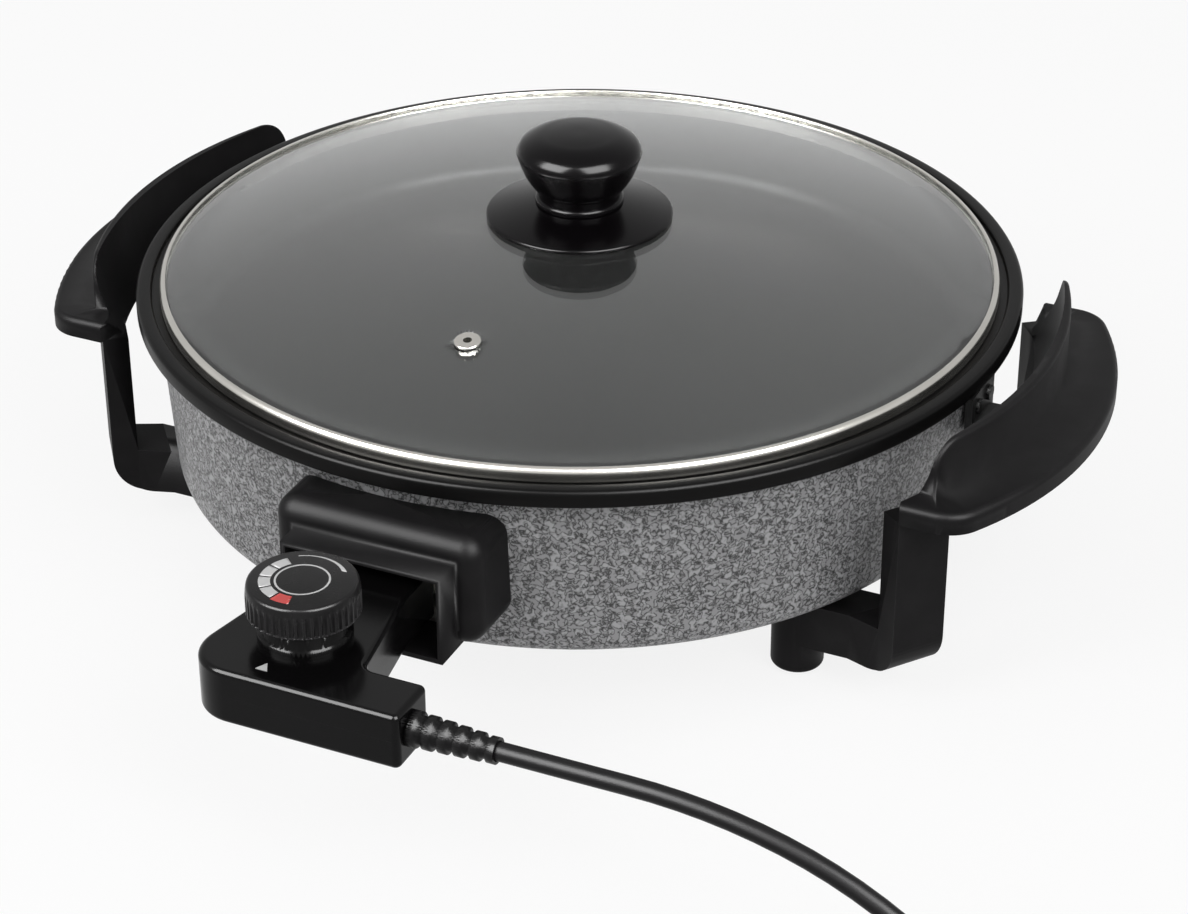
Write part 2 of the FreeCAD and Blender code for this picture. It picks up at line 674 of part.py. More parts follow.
def feature(label, shape):
    """A piece whose shape is worked out here from the sheet's sizes."""
    made = doc.addObject("Part::Feature", label + "_shape")
    made.Shape = shape
    made.Placement = FreeCAD.Placement(V(0, back_y, 0), FreeCAD.Rotation()).multiply(shape.Placement)
    made.Label = label
    PARTS.append(made)
    return made


feature("heating_element", tube(element_path, val("tube_dia")))
bends = sketch(plate, "bend_grooves", lift="heater_height")
for x, side in ((PLUG_X + " - pin_spread / 2", "-"), (PLUG_X + " + pin_spread / 2", "+")):
    turn_x = "%s %s leg_bend" % (x, side)
    turn_y = "-sqrt((ring_radius + leg_bend)^2 - (%s)^2)" % turn_x
    ring(bends, turn_x, turn_y, "2 * leg_bend + tube_dia + 2 * groove_play")
    ring(bends, turn_x, turn_y, "2 * leg_bend - tube_dia - 2 * groove_play")
pocket(plate, bends, "tube_dia / 2 + groove_play", "bend_grooves_cut", back=False)

# Pins, their ceramic bushes and the terminal plate
PIN_PLACES = [PLUG_X + " - pin_spread / 2", PLUG_X + " + pin_spread / 2"]
joined("terminal_pins", [
    rod("pin%d" % i, x, "-(%s)" % COLD_END, "heater_height", "pin_dia", "pin_reach - (%s)" % COLD_END, (0, -1, 0))
    for i, x in enumerate(PIN_PLACES)
])
TERMINAL_LOW = "collar_low + collar_wall + seat_play"
TERMINAL_HIGH = "collar_high - collar_wall - seat_play"
TERMINAL_HALF = "(collar_half - collar_wall - seat_play)"
terminal = body("terminal_plate")
terminal_face = outline(sketch(terminal, "terminal_face", "XZ_Plane", "terminal_front"), [
    (LEFT_OF_SOCKET + TERMINAL_HALF, TERMINAL_LOW),
    (RIGHT_OF_SOCKET + TERMINAL_HALF, TERMINAL_LOW),
    (RIGHT_OF_SOCKET + TERMINAL_HALF, TERMINAL_HIGH),
    (LEFT_OF_SOCKET + TERMINAL_HALF, TERMINAL_HIGH),
])
for x in PIN_PLACES:
    ring(terminal_face, x, "heater_height", "bush_dia - 3")
ring(terminal_face, PLUG_X, "heater_height", "guide_bore + 1")
pad(terminal, terminal_face, "terminal_thick", "terminal_slab", back=True)
bushes = body("ceramic_bush_left"), body("ceramic_bush_right")
for bush, x in zip(bushes, PIN_PLACES):
    flange = sketch(bush, bush.Label + "_flange", "XZ_Plane", "terminal_front")
    ring(flange, x, "heater_height", "bush_dia")
    ring(flange, x, "heater_height", "pin_dia + 0.2")
    pad(bush, flange, "bush_reach", bush.Label + "_front")
    stem = sketch(bush, bush.Label + "_stem", "XZ_Plane", "terminal_front")
    ring(stem, x, "heater_height", "bush_dia - 3.4")
    ring(stem, x, "heater_height", "pin_dia + 0.2")
    pad(bush, stem, "terminal_thick + 2", bush.Label + "_back", back=True)
    soften(bush, "0.8", lambda e, p=x: isinstance(e.Curve, Part.Circle)
           and abs(e.Curve.Radius - val("bush_dia / 2")) < 0.01
           and abs(e.Curve.Center.y + val("terminal_front + bush_reach")) < 0.01, bush.Label + "_edge")

# Guide tube for the probe, closed at its inner end
guide = body("probe_guide")
guide_face = sketch(guide, "guide_face", "XZ_Plane", "guide_end")
ring(guide_face, PLUG_X, "heater_height", "guide_dia")
pad(guide, guide_face, "terminal_front - terminal_thick - guide_end", "guide_tube")
guide_bore = sketch(guide, "guide_bore_face", "XZ_Plane", "guide_end + 2")
ring(guide_bore, PLUG_X, "heater_height", "guide_bore")
pocket(guide, guide_bore, "terminal_front", "guide_bore_cut", back=False)

# Socket shroud: rounded block with a thin collar, curved to the shell behind
shroud = body("socket_shroud")
shroud_block = outline(sketch(shroud, "shroud_block", "XZ_Plane", "shroud_front"), [
    (LEFT_OF_SOCKET + "shroud_half", "shroud_low"),
    (RIGHT_OF_SOCKET + "shroud_half", "shroud_low"),
    (RIGHT_OF_SOCKET + "shroud_half", "shroud_high"),
    (LEFT_OF_SOCKET + "shroud_half", "shroud_high"),
])
pad(shroud, shroud_block, "shroud_front - shell_base_radius + shell_corner", "shroud_body", back=True)


def shroud_corner(edge):
    box = edge.BoundBox
    return box.YLength > 5 and box.XLength < 0.01 and box.ZLength < 0.01


soften(shroud, "shroud_round", shroud_corner, "shroud_corners")
soften(shroud, "shroud_round - 1", lambda e: abs(e.BoundBox.YMin + val("shroud_front")) < 0.01
       and e.BoundBox.YLength < 0.01, "shroud_front_edge")
collar = outline(sketch(shroud, "collar_face", "XZ_Plane", "shroud_front + collar_reach"), [
    (LEFT_OF_SOCKET + "collar_half", "collar_low"),
    (RIGHT_OF_SOCKET + "collar_half", "collar_low"),
    (RIGHT_OF_SOCKET + "collar_half", "collar_high"),
    (LEFT_OF_SOCKET + "collar_half", "collar_high"),
])
pad(shroud, collar, "collar_reach + shroud_round", "collar_body", back=True)
mouth = outline(sketch(shroud, "socket_mouth", "XZ_Plane", "shroud_front + collar_reach"), [
    (LEFT_OF_SOCKET + "(collar_half - collar_wall)", "collar_low + collar_wall"),
    (RIGHT_OF_SOCKET + "(collar_half - collar_wall)", "collar_low + collar_wall"),
    (RIGHT_OF_SOCKET + "(collar_half - collar_wall)", "collar_high - collar_wall"),
    (LEFT_OF_SOCKET + "(collar_half - collar_wall)", "collar_high - collar_wall"),
])
pocket(shroud, mouth, "shroud_front", "socket_mouth_cut", back=True)
SEAT_OUT = "shell_top_radius + seat_play"
wall_groove = outline(sketch(shroud, "shell_clearance", "XZ_Plane"), [
    ("0", "shell_base"),
    ("shell_base_radius + seat_play", "shell_base"),
    (SEAT_OUT, SHELL_TOP),
    ("0", SHELL_TOP),
])
spin(shroud, wall_groove, "shell_clearance_cut", cut=True)
screw_seats = sketch(shroud, "screw_seats", "XZ_Plane", "shell_base_radius - shell_corner")
for side in ("-", "+"):
    ring(screw_seats, "%s %s shroud_screw_half" % (PLUG_X, side), "heater_height", "screw_dia + 0.1")
pocket(shroud, screw_seats, "shell_corner + shroud_screw_reach", "screw_seats_cut", back=False)

# Handles: shelf, heat guard, two posts with bars and hollow feet, in one moulding
CORNER_COS = "cos(post_turn * 1 deg)"
CORNER_SIN = "sin(post_turn * 1 deg)"


def post_corner(wide, thick):
    """Corner of the post's section; wide and thick are -1 or 1."""
    x = "post_across + (%d) * post_width / 2 * %s - (%d) * post_thick / 2 * %s" % (wide, CORNER_COS, thick, CORNER_SIN)
    y = "-post_along + (%d) * post_width / 2 * %s + (%d) * post_thick / 2 * %s" % (wide, CORNER_SIN, thick, CORNER_COS)
    return x, y


def arc_x(middle, radius, half):
    """Where an arc about a point on the handles' line reaches a distance from it."""
    return "%s + sqrt((%s)^2 - (%s)^2)" % (middle, radius, half)


def mirrored(corners, across, along):
    """The same corners on another side of the pan."""
    flip = {1: "", -1: "-"}
    return [("%s(%s)" % (flip[across], x), "%s(%s)" % (flip[along], y)) for x, y in corners]


SHELF_TIP = arc_x("shelf_middle", "shelf_radius", "shelf_half")
FIN_INNER_END = arc_x("0", "fin_in_radius", "fin_half")
FIN_OUTER_END = arc_x("fin_middle", "fin_radius", "fin_half")
CELL_IN = "(fin_radius + rib_thick)"
CELL_OUT = "(shelf_radius - hollow_margin)"


def handle(label, across):
    made = body(label, y=HANDLE_Y)
    shelf = outline(sketch(made, label + "_shelf", lift=SHELF_UNDER), mirrored([
        (FIN_INNER_END, "-fin_half"),
        ("shelf_end_in", "-shelf_half"),
        (SHELF_TIP, "-shelf_half"),
        (SHELF_TIP, "shelf_half"),
        ("shelf_end_in", "shelf_half"),
        (FIN_INNER_END, "fin_half"),
    ], across, 1), {2: ("shelf_radius", across), 5: ("fin_in_radius", -across)})
    pad(made, shelf, "shelf_thick", label + "_shelf_pad")
    tip = val(SHELF_TIP)
    half = val("shelf_half")
    soften(made, "shelf_end_round", lambda e: upright(e, across * tip, half) or upright(e, across * tip, -half),
           label + "_shelf_corners")
    soften(made, "shelf_round", lambda e: level(e, val("shelf_top"))
           and abs(e.BoundBox.Center.x) > val("shelf_end_in") + 1
           and (e.BoundBox.YLength > val("fin_half") * 2 or abs(e.BoundBox.Center.y) > val("fin_half"))
           and not (isinstance(e.Curve, Part.Circle) and abs(e.Curve.Radius - val("fin_in_radius")) < 0.1),
           label + "_shelf_edge")
    fin = outline(sketch(made, label + "_guard", lift=SHELF_UNDER), mirrored([
        (FIN_INNER_END, "-fin_half"),
        (FIN_OUTER_END, "-fin_half"),
        (FIN_OUTER_END, "fin_half"),
        (FIN_INNER_END, "fin_half"),
    ], across, 1), {1: ("fin_radius", across), 3: ("fin_in_radius", -across)})
    pad(made, fin, "fin_top - (%s)" % SHELF_UNDER, label + "_guard_pad")
    soften(made, "fin_round", lambda e: level(e, val("fin_top")) and not isinstance(e.Curve, Part.Circle),
           label + "_guard_ends")
    scoop = outline(sketch(made, label + "_guard_scoop", "XZ_Plane"), [
        ("rim_radius", SHELF_UNDER),
        ("fin_in_radius", SHELF_UNDER),
        ("fin_in_top", "fin_top"),
        ("fin_in_top", "fin_top + 1"),
        ("rim_radius", "fin_top + 1"),
    ], {1: ("fin_scoop", 1)})
    spin(made, scoop, label + "_guard_scoop_cut", cut=True)
    soften(made, "fin_edge", lambda e: level(e, val("fin_top")) and isinstance(e.Curve, Part.Circle)
           and abs(e.Curve.Radius - val("fin_radius")) < 0.1, label + "_guard_edge")
    cells = sketch(made, label + "_cells", lift=SHELF_UNDER)
    for along in (1, -1):
        for low, high in (("cell_near", "cell_rib"), ("cell_rib + rib_thick", "cell_far")):
            outline(cells, mirrored([
                (arc_x("fin_middle", CELL_IN, high), "-(%s)" % high),
                (arc_x("shelf_middle", CELL_OUT, high), "-(%s)" % high),
                (arc_x("shelf_middle", CELL_OUT, low), "-(%s)" % low),
                (arc_x("fin_middle", CELL_IN, low), "-(%s)" % low),
            ], across, along), {1: (CELL_OUT, across * along)})
    pocket(made, cells, "hollow_depth", label + "_cells_cut", back=False)
    for along in (1, -1):
        end = "front" if along > 0 else "rear"
        bar = outline(sketch(made, "%s_bar_%s" % (label, end), lift="bar_low"), mirrored([
            ("foot_across", "-bar_back"),
            ("foot_across", "-bar_front"),
            ("bar_flare", "-bar_front"),
            post_corner(-1, 1),
            post_corner(-1, -1),
            post_corner(1, -1),
            post_corner(1, 1),
            ("bar_flare_in", "-bar_back"),
        ], across, along))
        pad(made, bar, "bar_high - bar_low", "%s_bar_pad_%s" % (label, end))
        low_end = [(val(x), val(y)) for x, y in mirrored([post_corner(-1, -1), post_corner(1, -1)], across, along)]
        soften(made, "leg_round", lambda e, ends=low_end: level(e, val("bar_low"))
               and abs(e.BoundBox.Center.x - (ends[0][0] + ends[1][0]) / 2) < 0.5
               and abs(e.BoundBox.Center.y - (ends[0][1] + ends[1][1]) / 2) < 0.5,
               "%s_leg_corner_%s" % (label, end))
        post = outline(sketch(made, "%s_post_%s" % (label, end), lift="bar_high"), mirrored([
            post_corner(-1, 1),
            post_corner(-1, -1),
            post_corner(1, -1),
            post_corner(1, 1),
        ], across, along))
        pad(made, post, "(%s) - bar_high" % SHELF_UNDER, "%s_post_pad_%s" % (label, end))
        foot_x = "%sfoot_across" % ("" if across > 0 else "-")
        foot_y = "%sfoot_along" % ("-" if along > 0 else "")
        foot = sketch(made, "%s_foot_%s" % (label, end), lift="pad_stand")
        ring(foot, foot_x, foot_y, "foot_dia")
        pad(made, foot, "shell_base - pad_stand", "%s_foot_pad_%s" % (label, end))
        recess = sketch(made, "%s_recess_%s" % (label, end), lift="pad_stand")
        ring(recess, foot_x, foot_y, "foot_recess")
        pocket(made, recess, "foot_recess_deep", "%s_recess_cut_%s" % (label, end), back=False)
        drill = sketch(made, "%s_drill_%s" % (label, end), lift="pad_stand")
        ring(drill, foot_x, foot_y, "foot_hole")
        pocket(made, drill, "shell_base", "%s_drill_cut_%s" % (label, end), back=False)
        soften(made, "2.5", lambda e, fx=val(foot_x), fy=val(foot_y): isinstance(e.Curve, Part.Circle)
               and abs(e.Curve.Radius - val("foot_dia / 2")) < 0.01 and abs(e.Curve.Center.z - val("pad_stand")) < 0.01
               and math.hypot(e.Curve.Center.x - fx, e.Curve.Center.y - fy) < 0.1,
               "%s_foot_edge_%s" % (label, end))
    screw_holes = sketch(made, label + "_screw_holes", lift=SHELF_UNDER)
    for end in ("-", ""):
        ring(screw_holes, "%sbracket_hole" % ("" if across > 0 else "-"), "%sbracket_screw_spread / 2" % end,
             "screw_dia + 0.1")
    pocket(made, screw_holes, "shelf_thick - 2", label + "_screw_holes_cut", back=False)
    return made


handle("handle_right", 1)
handle("handle_left", -1)

# Feet: screws, weld nuts and rubber pads under each handle
FEET = [("right", 1), ("left", -1)]
for side, across in FEET:
    sign = "" if across > 0 else "-"
    places = [(sign + "foot_across", HANDLE_Y + " - foot_along"), (sign + "foot_across", HANDLE_Y + " + foot_along")]
    head_low = "pad_stand + foot_recess_deep - screw_head_thick"
    shafts = []
    for i, (x, y) in enumerate(places):
        shaft = rod("foot_screw_shaft_%s%d" % (side, i), x, y, head_low, "screw_dia",
                    "shell_base + nut_high + 2 - (%s)" % head_low)
        cap = rod("foot_screw_head_%s%d" % (side, i), x, y, head_low, "screw_head", "screw_head_thick")
        screw = doc.addObject("Part::Fuse", "foot_screw_%s%d" % (side, i))
        screw.Base = shaft
        screw.Tool = cap
        shafts.append(screw)
    joined("foot_screws_" + side, shafts)
    nuts = body("weld_nuts_" + side)
    nut_face = sketch(nuts, nuts.Label + "_face", lift="shell_base + shell_wall")
    for x, y in places:
        ring(nut_face, x, y, "nut_dia")
        ring(nut_face, x, y, "screw_dia + 0.1")
    pad(nuts, nut_face, "nut_high", nuts.Label + "_pad")
    joined("foot_pads_" + side, [
        rod("foot_pad_%s%d" % (side, i), x, y, "0", "foot_recess - 0.2", "pad_thick") for i, (x, y) in enumerate(places)
    ])

# Brackets that carry the shelves, their rivets and screws
BRACKET_BACK = "shell_top_radius - (%s - bracket_high) * (%s) + seat_play" % (SHELL_TOP, SLOPE)
BRACKET_LOW = "(%s - bracket_thick)" % SHELF_UNDER
for side, across in FEET:
    sign = "" if across > 0 else "-"
    bracket = body("handle_bracket_" + side, y=HANDLE_Y)
    section = sketch(bracket, bracket.Label + "_section", "XZ_Plane", "-bracket_half")
    corners = [
        (BRACKET_BACK, BRACKET_LOW),
        ("bracket_reach", BRACKET_LOW),
        ("bracket_reach", SHELF_UNDER),
        (BRACKET_BACK + " + bracket_thick", SHELF_UNDER),
        (BRACKET_BACK + " + bracket_thick", "bracket_high"),
        (BRACKET_BACK, "bracket_high"),
    ]
    outline(section, [("%s(%s)" % (sign, x), z) for x, z in corners])
    pad(bracket, section, "2 * bracket_half", bracket.Label + "_pad")
    tap = sketch(bracket, bracket.Label + "_tap", lift=BRACKET_LOW)
    rivet_holes = sketch(bracket, bracket.Label + "_rivet_holes", "YZ_Plane")
    for end in ("-", ""):
        ring(tap, sign + "bracket_hole", end + "bracket_screw_spread / 2", "screw_dia + 0.4")
        ring(rivet_holes, end + "bracket_screw_spread / 2", "bracket_high - rivet_head", "rivet_dia + 0.1")
    pocket(bracket, tap, "bracket_thick", bracket.Label + "_tap_cut", back=False)
    pocket(bracket, rivet_holes, "bracket_reach", bracket.Label + "_rivet_cut", back=across < 0)
    screws = []
    rivets = []
    for i, end in enumerate(("-", "")):
        x = sign + "bracket_hole"
        y = "%s %s bracket_screw_spread / 2" % (HANDLE_Y, end or "+")
        shaft = rod("bracket_screw_shaft_%s%d" % (side, i), x, y, "%s - screw_head_thick" % BRACKET_LOW, "screw_dia",
                    "screw_head_thick + bracket_thick + shelf_thick - 3")
        cap = rod("bracket_screw_head_%s%d" % (side, i), x, y, "%s - screw_head_thick" % BRACKET_LOW, "screw_head",
                  "screw_head_thick")
        screw = doc.addObject("Part::Fuse", "bracket_screw_%s%d" % (side, i))
        screw.Base = shaft
        screw.Tool = cap
        screws.append(screw)
        flat = "%s(%s + bracket_thick)" % (sign, BRACKET_BACK)
        rivets.append(rod("rivet_head_%s%d" % (side, i), flat, y, "bracket_high - rivet_head", "rivet_head",
                          "1.6", (across, 0, 0)))
    joined("bracket_screws_" + side, screws)
    joined("bracket_rivets_" + side, rivets)

# Lid: glass dome, steel band, vent eyelet, guard disc, knob, screw and washers
DOME = "((lid_radius)^2 + (lid_rise)^2) / (2 * lid_rise)"
GLASS_EDGE = "rim_height + lid_edge"
UNDER_DOME = "(%s - glass_thick)" % DOME
glass = turned("lid_glass", [
    ("0", GLASS_TOP + " - glass_thick"),
    ("lid_radius", "%s - glass_thick - 0" % GLASS_EDGE),
    ("lid_radius", GLASS_EDGE),
    ("0", GLASS_TOP),
], {0: (DOME, -1), 2: (DOME, 1)})
VENT_X = "vent_radius * cos(vent_angle * 1 deg)"
VENT_Y = "vent_radius * sin(vent_angle * 1 deg)"
drill = sketch(glass, "glass_holes", lift=GLASS_EDGE + " - glass_thick")
ring(drill, "0", "0", "lid_screw_dia + 1")
ring(drill, VENT_X, VENT_Y, "vent_hole")
pocket(glass, drill, "lid_rise + glass_thick + 1", "glass_holes_cut", back=False)

BAND_IN = "(band_radius - band_wall)"
BAND_LAP_IN = "(lid_radius - band_lap)"
BAND_SKIRT = "(band_radius - band_seat)"
BAND_TOP = "(rim_height + band_top)"
turned("lid_band", [
    (BAND_SKIRT, SEAT + " - band_skirt"),
    (BAND_SKIRT, SEAT),
    ("band_radius", SEAT),
    ("band_radius", BAND_TOP),
    (BAND_LAP_IN, BAND_TOP + " + band_lap_rise"),
    (BAND_LAP_IN, BAND_TOP + " + band_lap_rise - band_wall"),
    (BAND_IN, BAND_TOP + " - band_wall"),
    (BAND_IN, SEAT + " + band_wall"),
    (BAND_SKIRT + " - band_wall", SEAT + " + band_wall"),
    (BAND_SKIRT + " - band_wall", SEAT + " - band_skirt"),
])

# Vent eyelet, square to the dome
VENT_DROP = "(%s - sqrt((%s)^2 - vent_radius^2))" % (DOME, DOME)
eyelet = body("vent_eyelet", VENT_X, VENT_Y)
eyelet.setExpression(".Placement.Base.z", bind("%s - %s" % (GLASS_TOP, VENT_DROP)))
eyelet.Placement.Rotation = FreeCAD.Rotation(
    V(-math.sin(math.radians(val("vent_angle"))), math.cos(math.radians(val("vent_angle"))), 0),
    math.degrees(math.asin(val("vent_radius / (%s)" % DOME))))
UNDER_EYELET = "-(glass_thick + seat_play + vent_thick)"
spin(eyelet, outline(sketch(eyelet, "eyelet_section", "XZ_Plane"), [
    ("vent_bore / 2", UNDER_EYELET),
    ("vent_dia / 2 - 0.6", UNDER_EYELET),
    ("vent_dia / 2 - 0.6", UNDER_EYELET + " + vent_thick"),
    ("vent_dia / 2 - 2.3", UNDER_EYELET + " + vent_thick"),
    ("vent_dia / 2 - 2.3", "seat_play"),
    ("vent_dia / 2", "seat_play"),
    ("vent_dia / 2", "seat_play + vent_thick"),
    ("vent_bore / 2", "seat_play + vent_thick"),
]), "eyelet_turn")
soften(eyelet, "vent_thick / 2", lambda e: round_edge(e, val("vent_dia / 2"), val("seat_play + vent_thick")),
       "eyelet_edge")

# Knob with its guard disc, screw and washers
HOLE_R = "(lid_screw_dia / 2 + 0.3)"
washer_top = turned("seal_washer_top", [
    (HOLE_R, GLASS_TOP),
    ("washer_dia / 2", GLASS_TOP),
    ("washer_dia / 2", GLASS_TOP + " + washer_thick"),
    (HOLE_R, GLASS_TOP + " + washer_thick"),
])
turned("seal_washer_under", [
    (HOLE_R, GLASS_TOP + " - glass_thick - washer_thick"),
    ("washer_dia / 2", GLASS_TOP + " - glass_thick - washer_thick"),
    ("washer_dia / 2", GLASS_TOP + " - glass_thick - 0.1"),
    (HOLE_R, GLASS_TOP + " - glass_thick - 0.1"),
])
turned("knob_guard", [
    (HOLE_R, GLASS_TOP + " + washer_thick"),
    ("washer_dia / 2 + 2", GLASS_TOP + " + washer_thick"),
    ("skirt_radius - 2", GLASS_TOP + " - skirt_drop"),
    ("skirt_radius", GLASS_TOP + " - skirt_drop"),
    ("skirt_radius", GLASS_TOP + " - skirt_drop + skirt_edge"),
    ("knob_neck + 0.7", GLASS_TOP + " + skirt_rise"),
    (HOLE_R, GLASS_TOP + " + skirt_rise"),
])
WIDE = GLASS_TOP + " + knob_wide_at"
knob = turned("lid_knob", [
    (HOLE_R, GLASS_TOP + " + skirt_rise"),
    ("knob_base", GLASS_TOP + " + skirt_rise"),
    ("knob_base", GLASS_TOP + " + skirt_rise + knob_base_high"),
    ("knob_neck", GLASS_TOP + " + skirt_rise + knob_base_high + 0.5"),
    ("knob_radius", WIDE),
    ("knob_radius - knob_over", WIDE + " + knob_over"),
    ("knob_flat", WIDE + " + knob_over + knob_crown"),
    ("0", WIDE + " + knob_over + knob_crown"),
    ("0", GLASS_TOP + " + lid_screw_reach"),
    (HOLE_R, GLASS_TOP + " + lid_screw_reach"),
], {3: ("knob_taper", 1), 4: ("knob_over", 1), 5: ("knob_dome", 1)})
soften(knob, "0.8", lambda e: round_edge(e, val("knob_base"), val(GLASS_TOP + " + skirt_rise + knob_base_high")),
       "knob_foot_edge")
SCREW_LOW = "%s - glass_thick - washer_thick" % GLASS_TOP
fused("lid_screw", [
    rod("lid_screw_shaft", "0", "0", SCREW_LOW, "lid_screw_dia", "glass_thick + washer_thick + lid_screw_reach - 1"),
    rod("lid_screw_head", "0", "0", SCREW_LOW + " - 2.6", "washer_dia / 2", "2.6"),
])

# Earth strip in the socket and screws of the shroud
strip = body("earth_strip")
outline(sketch(strip, "strip_section", "YZ_Plane", PLUG_X + " - 4"), [
    ("-terminal_front", TERMINAL_LOW),
    ("-terminal_front - 13", TERMINAL_LOW),
    ("-terminal_front - 13", TERMINAL_LOW + " + 1"),
    ("-terminal_front - 1", TERMINAL_LOW + " + 1"),
    ("-terminal_front - 1", "heater_height - guide_dia / 2 - 2"),
    ("-terminal_front", "heater_height - guide_dia / 2 - 2"),
])
pad(strip, strip.Group[-1], "8", "strip_pad")
SHROUD_SCREW_BACK = "(sqrt((shell_base_radius - shell_wall)^2 - (socket_shift + shroud_screw_half + 5)^2) - 1)"
shroud_screws = []
for i, side in enumerate(("-", "+")):
    x = "%s %s shroud_screw_half" % (PLUG_X, side)
    shaft = rod("shroud_screw_shaft%d" % i, x, "-" + SHROUD_SCREW_BACK, "heater_height", "screw_dia",
                "shell_base_radius + shroud_screw_reach - 1 - %s" % SHROUD_SCREW_BACK,
                (0, -1, 0))
    cap = rod("shroud_screw_head%d" % i, x, "screw_head_thick - " + SHROUD_SCREW_BACK, "heater_height",
              "screw_head", "screw_head_thick", (0, -1, 0))
    screw = doc.addObject("Part::Fuse", "shroud_screw%d" % i)
    screw.Base = shaft
    screw.Tool = cap
    shroud_screws.append(screw)
joined("shroud_screws", shroud_screws)

# Heat control: two half shells on one outline
CONTROL_OUTLINE = [
    (LEFT_OF_SOCKET + "neck_half", "-neck_end"),
    (LEFT_OF_SOCKET + "neck_half", "-neck_mouth"),
    (LEFT_OF_SOCKET + "control_left", "-control_front"),
    (RIGHT_OF_SOCKET + "control_right", "-control_front"),
    (RIGHT_OF_SOCKET + "control_right", "-control_arm_back"),
    (RIGHT_OF_SOCKET + "neck_wide", "-control_arm_back"),
    (RIGHT_OF_SOCKET + "neck_half", "-neck_mouth"),
    (RIGHT_OF_SOCKET + "neck_half", "-neck_end"),
]
CONTROL_CAVITY = [
    (LEFT_OF_SOCKET + "neck_half + control_wall", "-neck_end - control_wall"),
    (LEFT_OF_SOCKET + "neck_half + control_wall", "-neck_mouth"),
    (LEFT_OF_SOCKET + "control_left + control_wall + 0.19 * cavity_bevel",
     "-control_front + control_wall + 0.98 * cavity_bevel"),
    (LEFT_OF_SOCKET + "control_left + control_wall + cavity_bevel", "-control_front + control_wall"),
    (RIGHT_OF_SOCKET + "control_right - control_wall", "-control_front + control_wall"),
    (RIGHT_OF_SOCKET + "control_right - control_wall", "-control_arm_back - control_wall"),
    (RIGHT_OF_SOCKET + "neck_wide - control_wall", "-control_arm_back - control_wall"),
    (RIGHT_OF_SOCKET + "neck_half - control_wall", "-neck_mouth"),
    (RIGHT_OF_SOCKET + "neck_half - control_wall", "-neck_end - control_wall"),
]
CONTROL_ROUNDS = {2: "control_round", 3: "control_end_round", 4: "control_end_round", 5: "control_elbow"}
POSTS = [
    ("socket_shift - control_left + post_margin", "-(control_front - 1.5 * post_margin)"),
    ("socket_shift + control_right - 2.5 * post_margin", "-(control_front - 0.75 * post_margin)"),
    ("socket_shift + pin_spread / 4", "-(neck_end + post_margin)"),
]
DIAL_Y = "-dial_place"


def control_half(label, low, high, up):
    """Half of the housing, open toward the parting line."""
    made = body(label)
    pad(made, outline(sketch(made, label + "_outline", lift=low), CONTROL_OUTLINE), "%s - (%s)" % (high, low),
        label + "_block")
    for number, radius in CONTROL_ROUNDS.items():
        x, y = CONTROL_OUTLINE[number]
        soften(made, radius, lambda e, px=val(x), py=val(y): upright(e, px, py), "%s_corner%d" % (label, number))
    cavity = outline(sketch(made, label + "_cavity", lift="control_split"), CONTROL_CAVITY)
    pocket(made, cavity, "%s - (%s) - control_wall" % (high, low), label + "_cavity_cut", back=not up)
    outer = val(high if up else low)
    soften(made, "control_edge", lambda e: level(e, outer) and e.BoundBox.YMin < -val("neck_end") - 0.5,
           label + "_rim_edges")
    posts = sketch(made, label + "_posts", lift="control_split")
    for x, y in POSTS:
        ring(posts, x, y, "control_post")
    pad(made, posts, "%s - control_wall / 2" % ("control_high - control_split" if up else "control_split - control_low"),
        label + "_post_pads", back=not up)
    drills = sketch(made, label + "_drills", lift="control_split" if up else low)
    for x, y in POSTS:
        ring(drills, x, y, "control_screw + 0.1" if up else "control_screw + 0.6")
    pocket(made, drills, "control_high - control_split - control_wall - 1" if up else "control_split", label + "_drills_cut",
           back=False)
    mouths = sketch(made, label + "_mouths", "XZ_Plane", "neck_end - 1")
    for x in PIN_PLACES:
        ring(mouths, x, "heater_height", "sleeve_dia + 2 * seat_play")
    ring(mouths, PLUG_X, "heater_height", "probe_dia + 2 * seat_play")
    pocket(made, mouths, "control_wall + 1.5", label + "_mouths_cut", back=False)
    gland = sketch(made, label + "_gland", "YZ_Plane", RIGHT_OF_SOCKET + "control_right - control_wall - 1")
    ring(gland, "-relief_place", "control_split", "relief_tip + 2 * seat_play")
    pocket(made, gland, "control_wall + 2", label + "_gland_cut", back=False)
    return made


base_shell = control_half("control_base_shell", "control_low", "control_split", False)
sinks = sketch(base_shell, "screw_sinks", lift="control_low")
for x, y in POSTS:
    ring(sinks, x, y, "control_screw_head + 0.6")
pocket(base_shell, sinks, "control_sink", "screw_sinks_cut", back=False)
top_shell = control_half("control_top_shell", "control_split", "control_high", True)
spindle_hole = sketch(top_shell, "spindle_hole", lift="control_high - control_wall - 1")
ring(spindle_hole, PLUG_X, DIAL_Y, "spindle_dia + 2 * seat_play")
pocket(top_shell, spindle_hole, "control_wall + 2", "spindle_hole_cut", back=False)
control_screws = []
for i, (x, y) in enumerate(POSTS):
    shaft = rod("control_screw_shaft%d" % i, x, y, "control_low + control_sink - 2", "control_screw",
                "control_high - control_wall - 2 - (control_low + control_sink - 2)")
    cap = rod("control_screw_head%d" % i, x, y, "control_low + control_sink - 2", "control_screw_head", "2")
    screw = doc.addObject("Part::Fuse", "control_screw%d" % i)
    screw.Base = shaft
    screw.Tool = cap
    control_screws.append(screw)
joined("control_screws", control_screws)

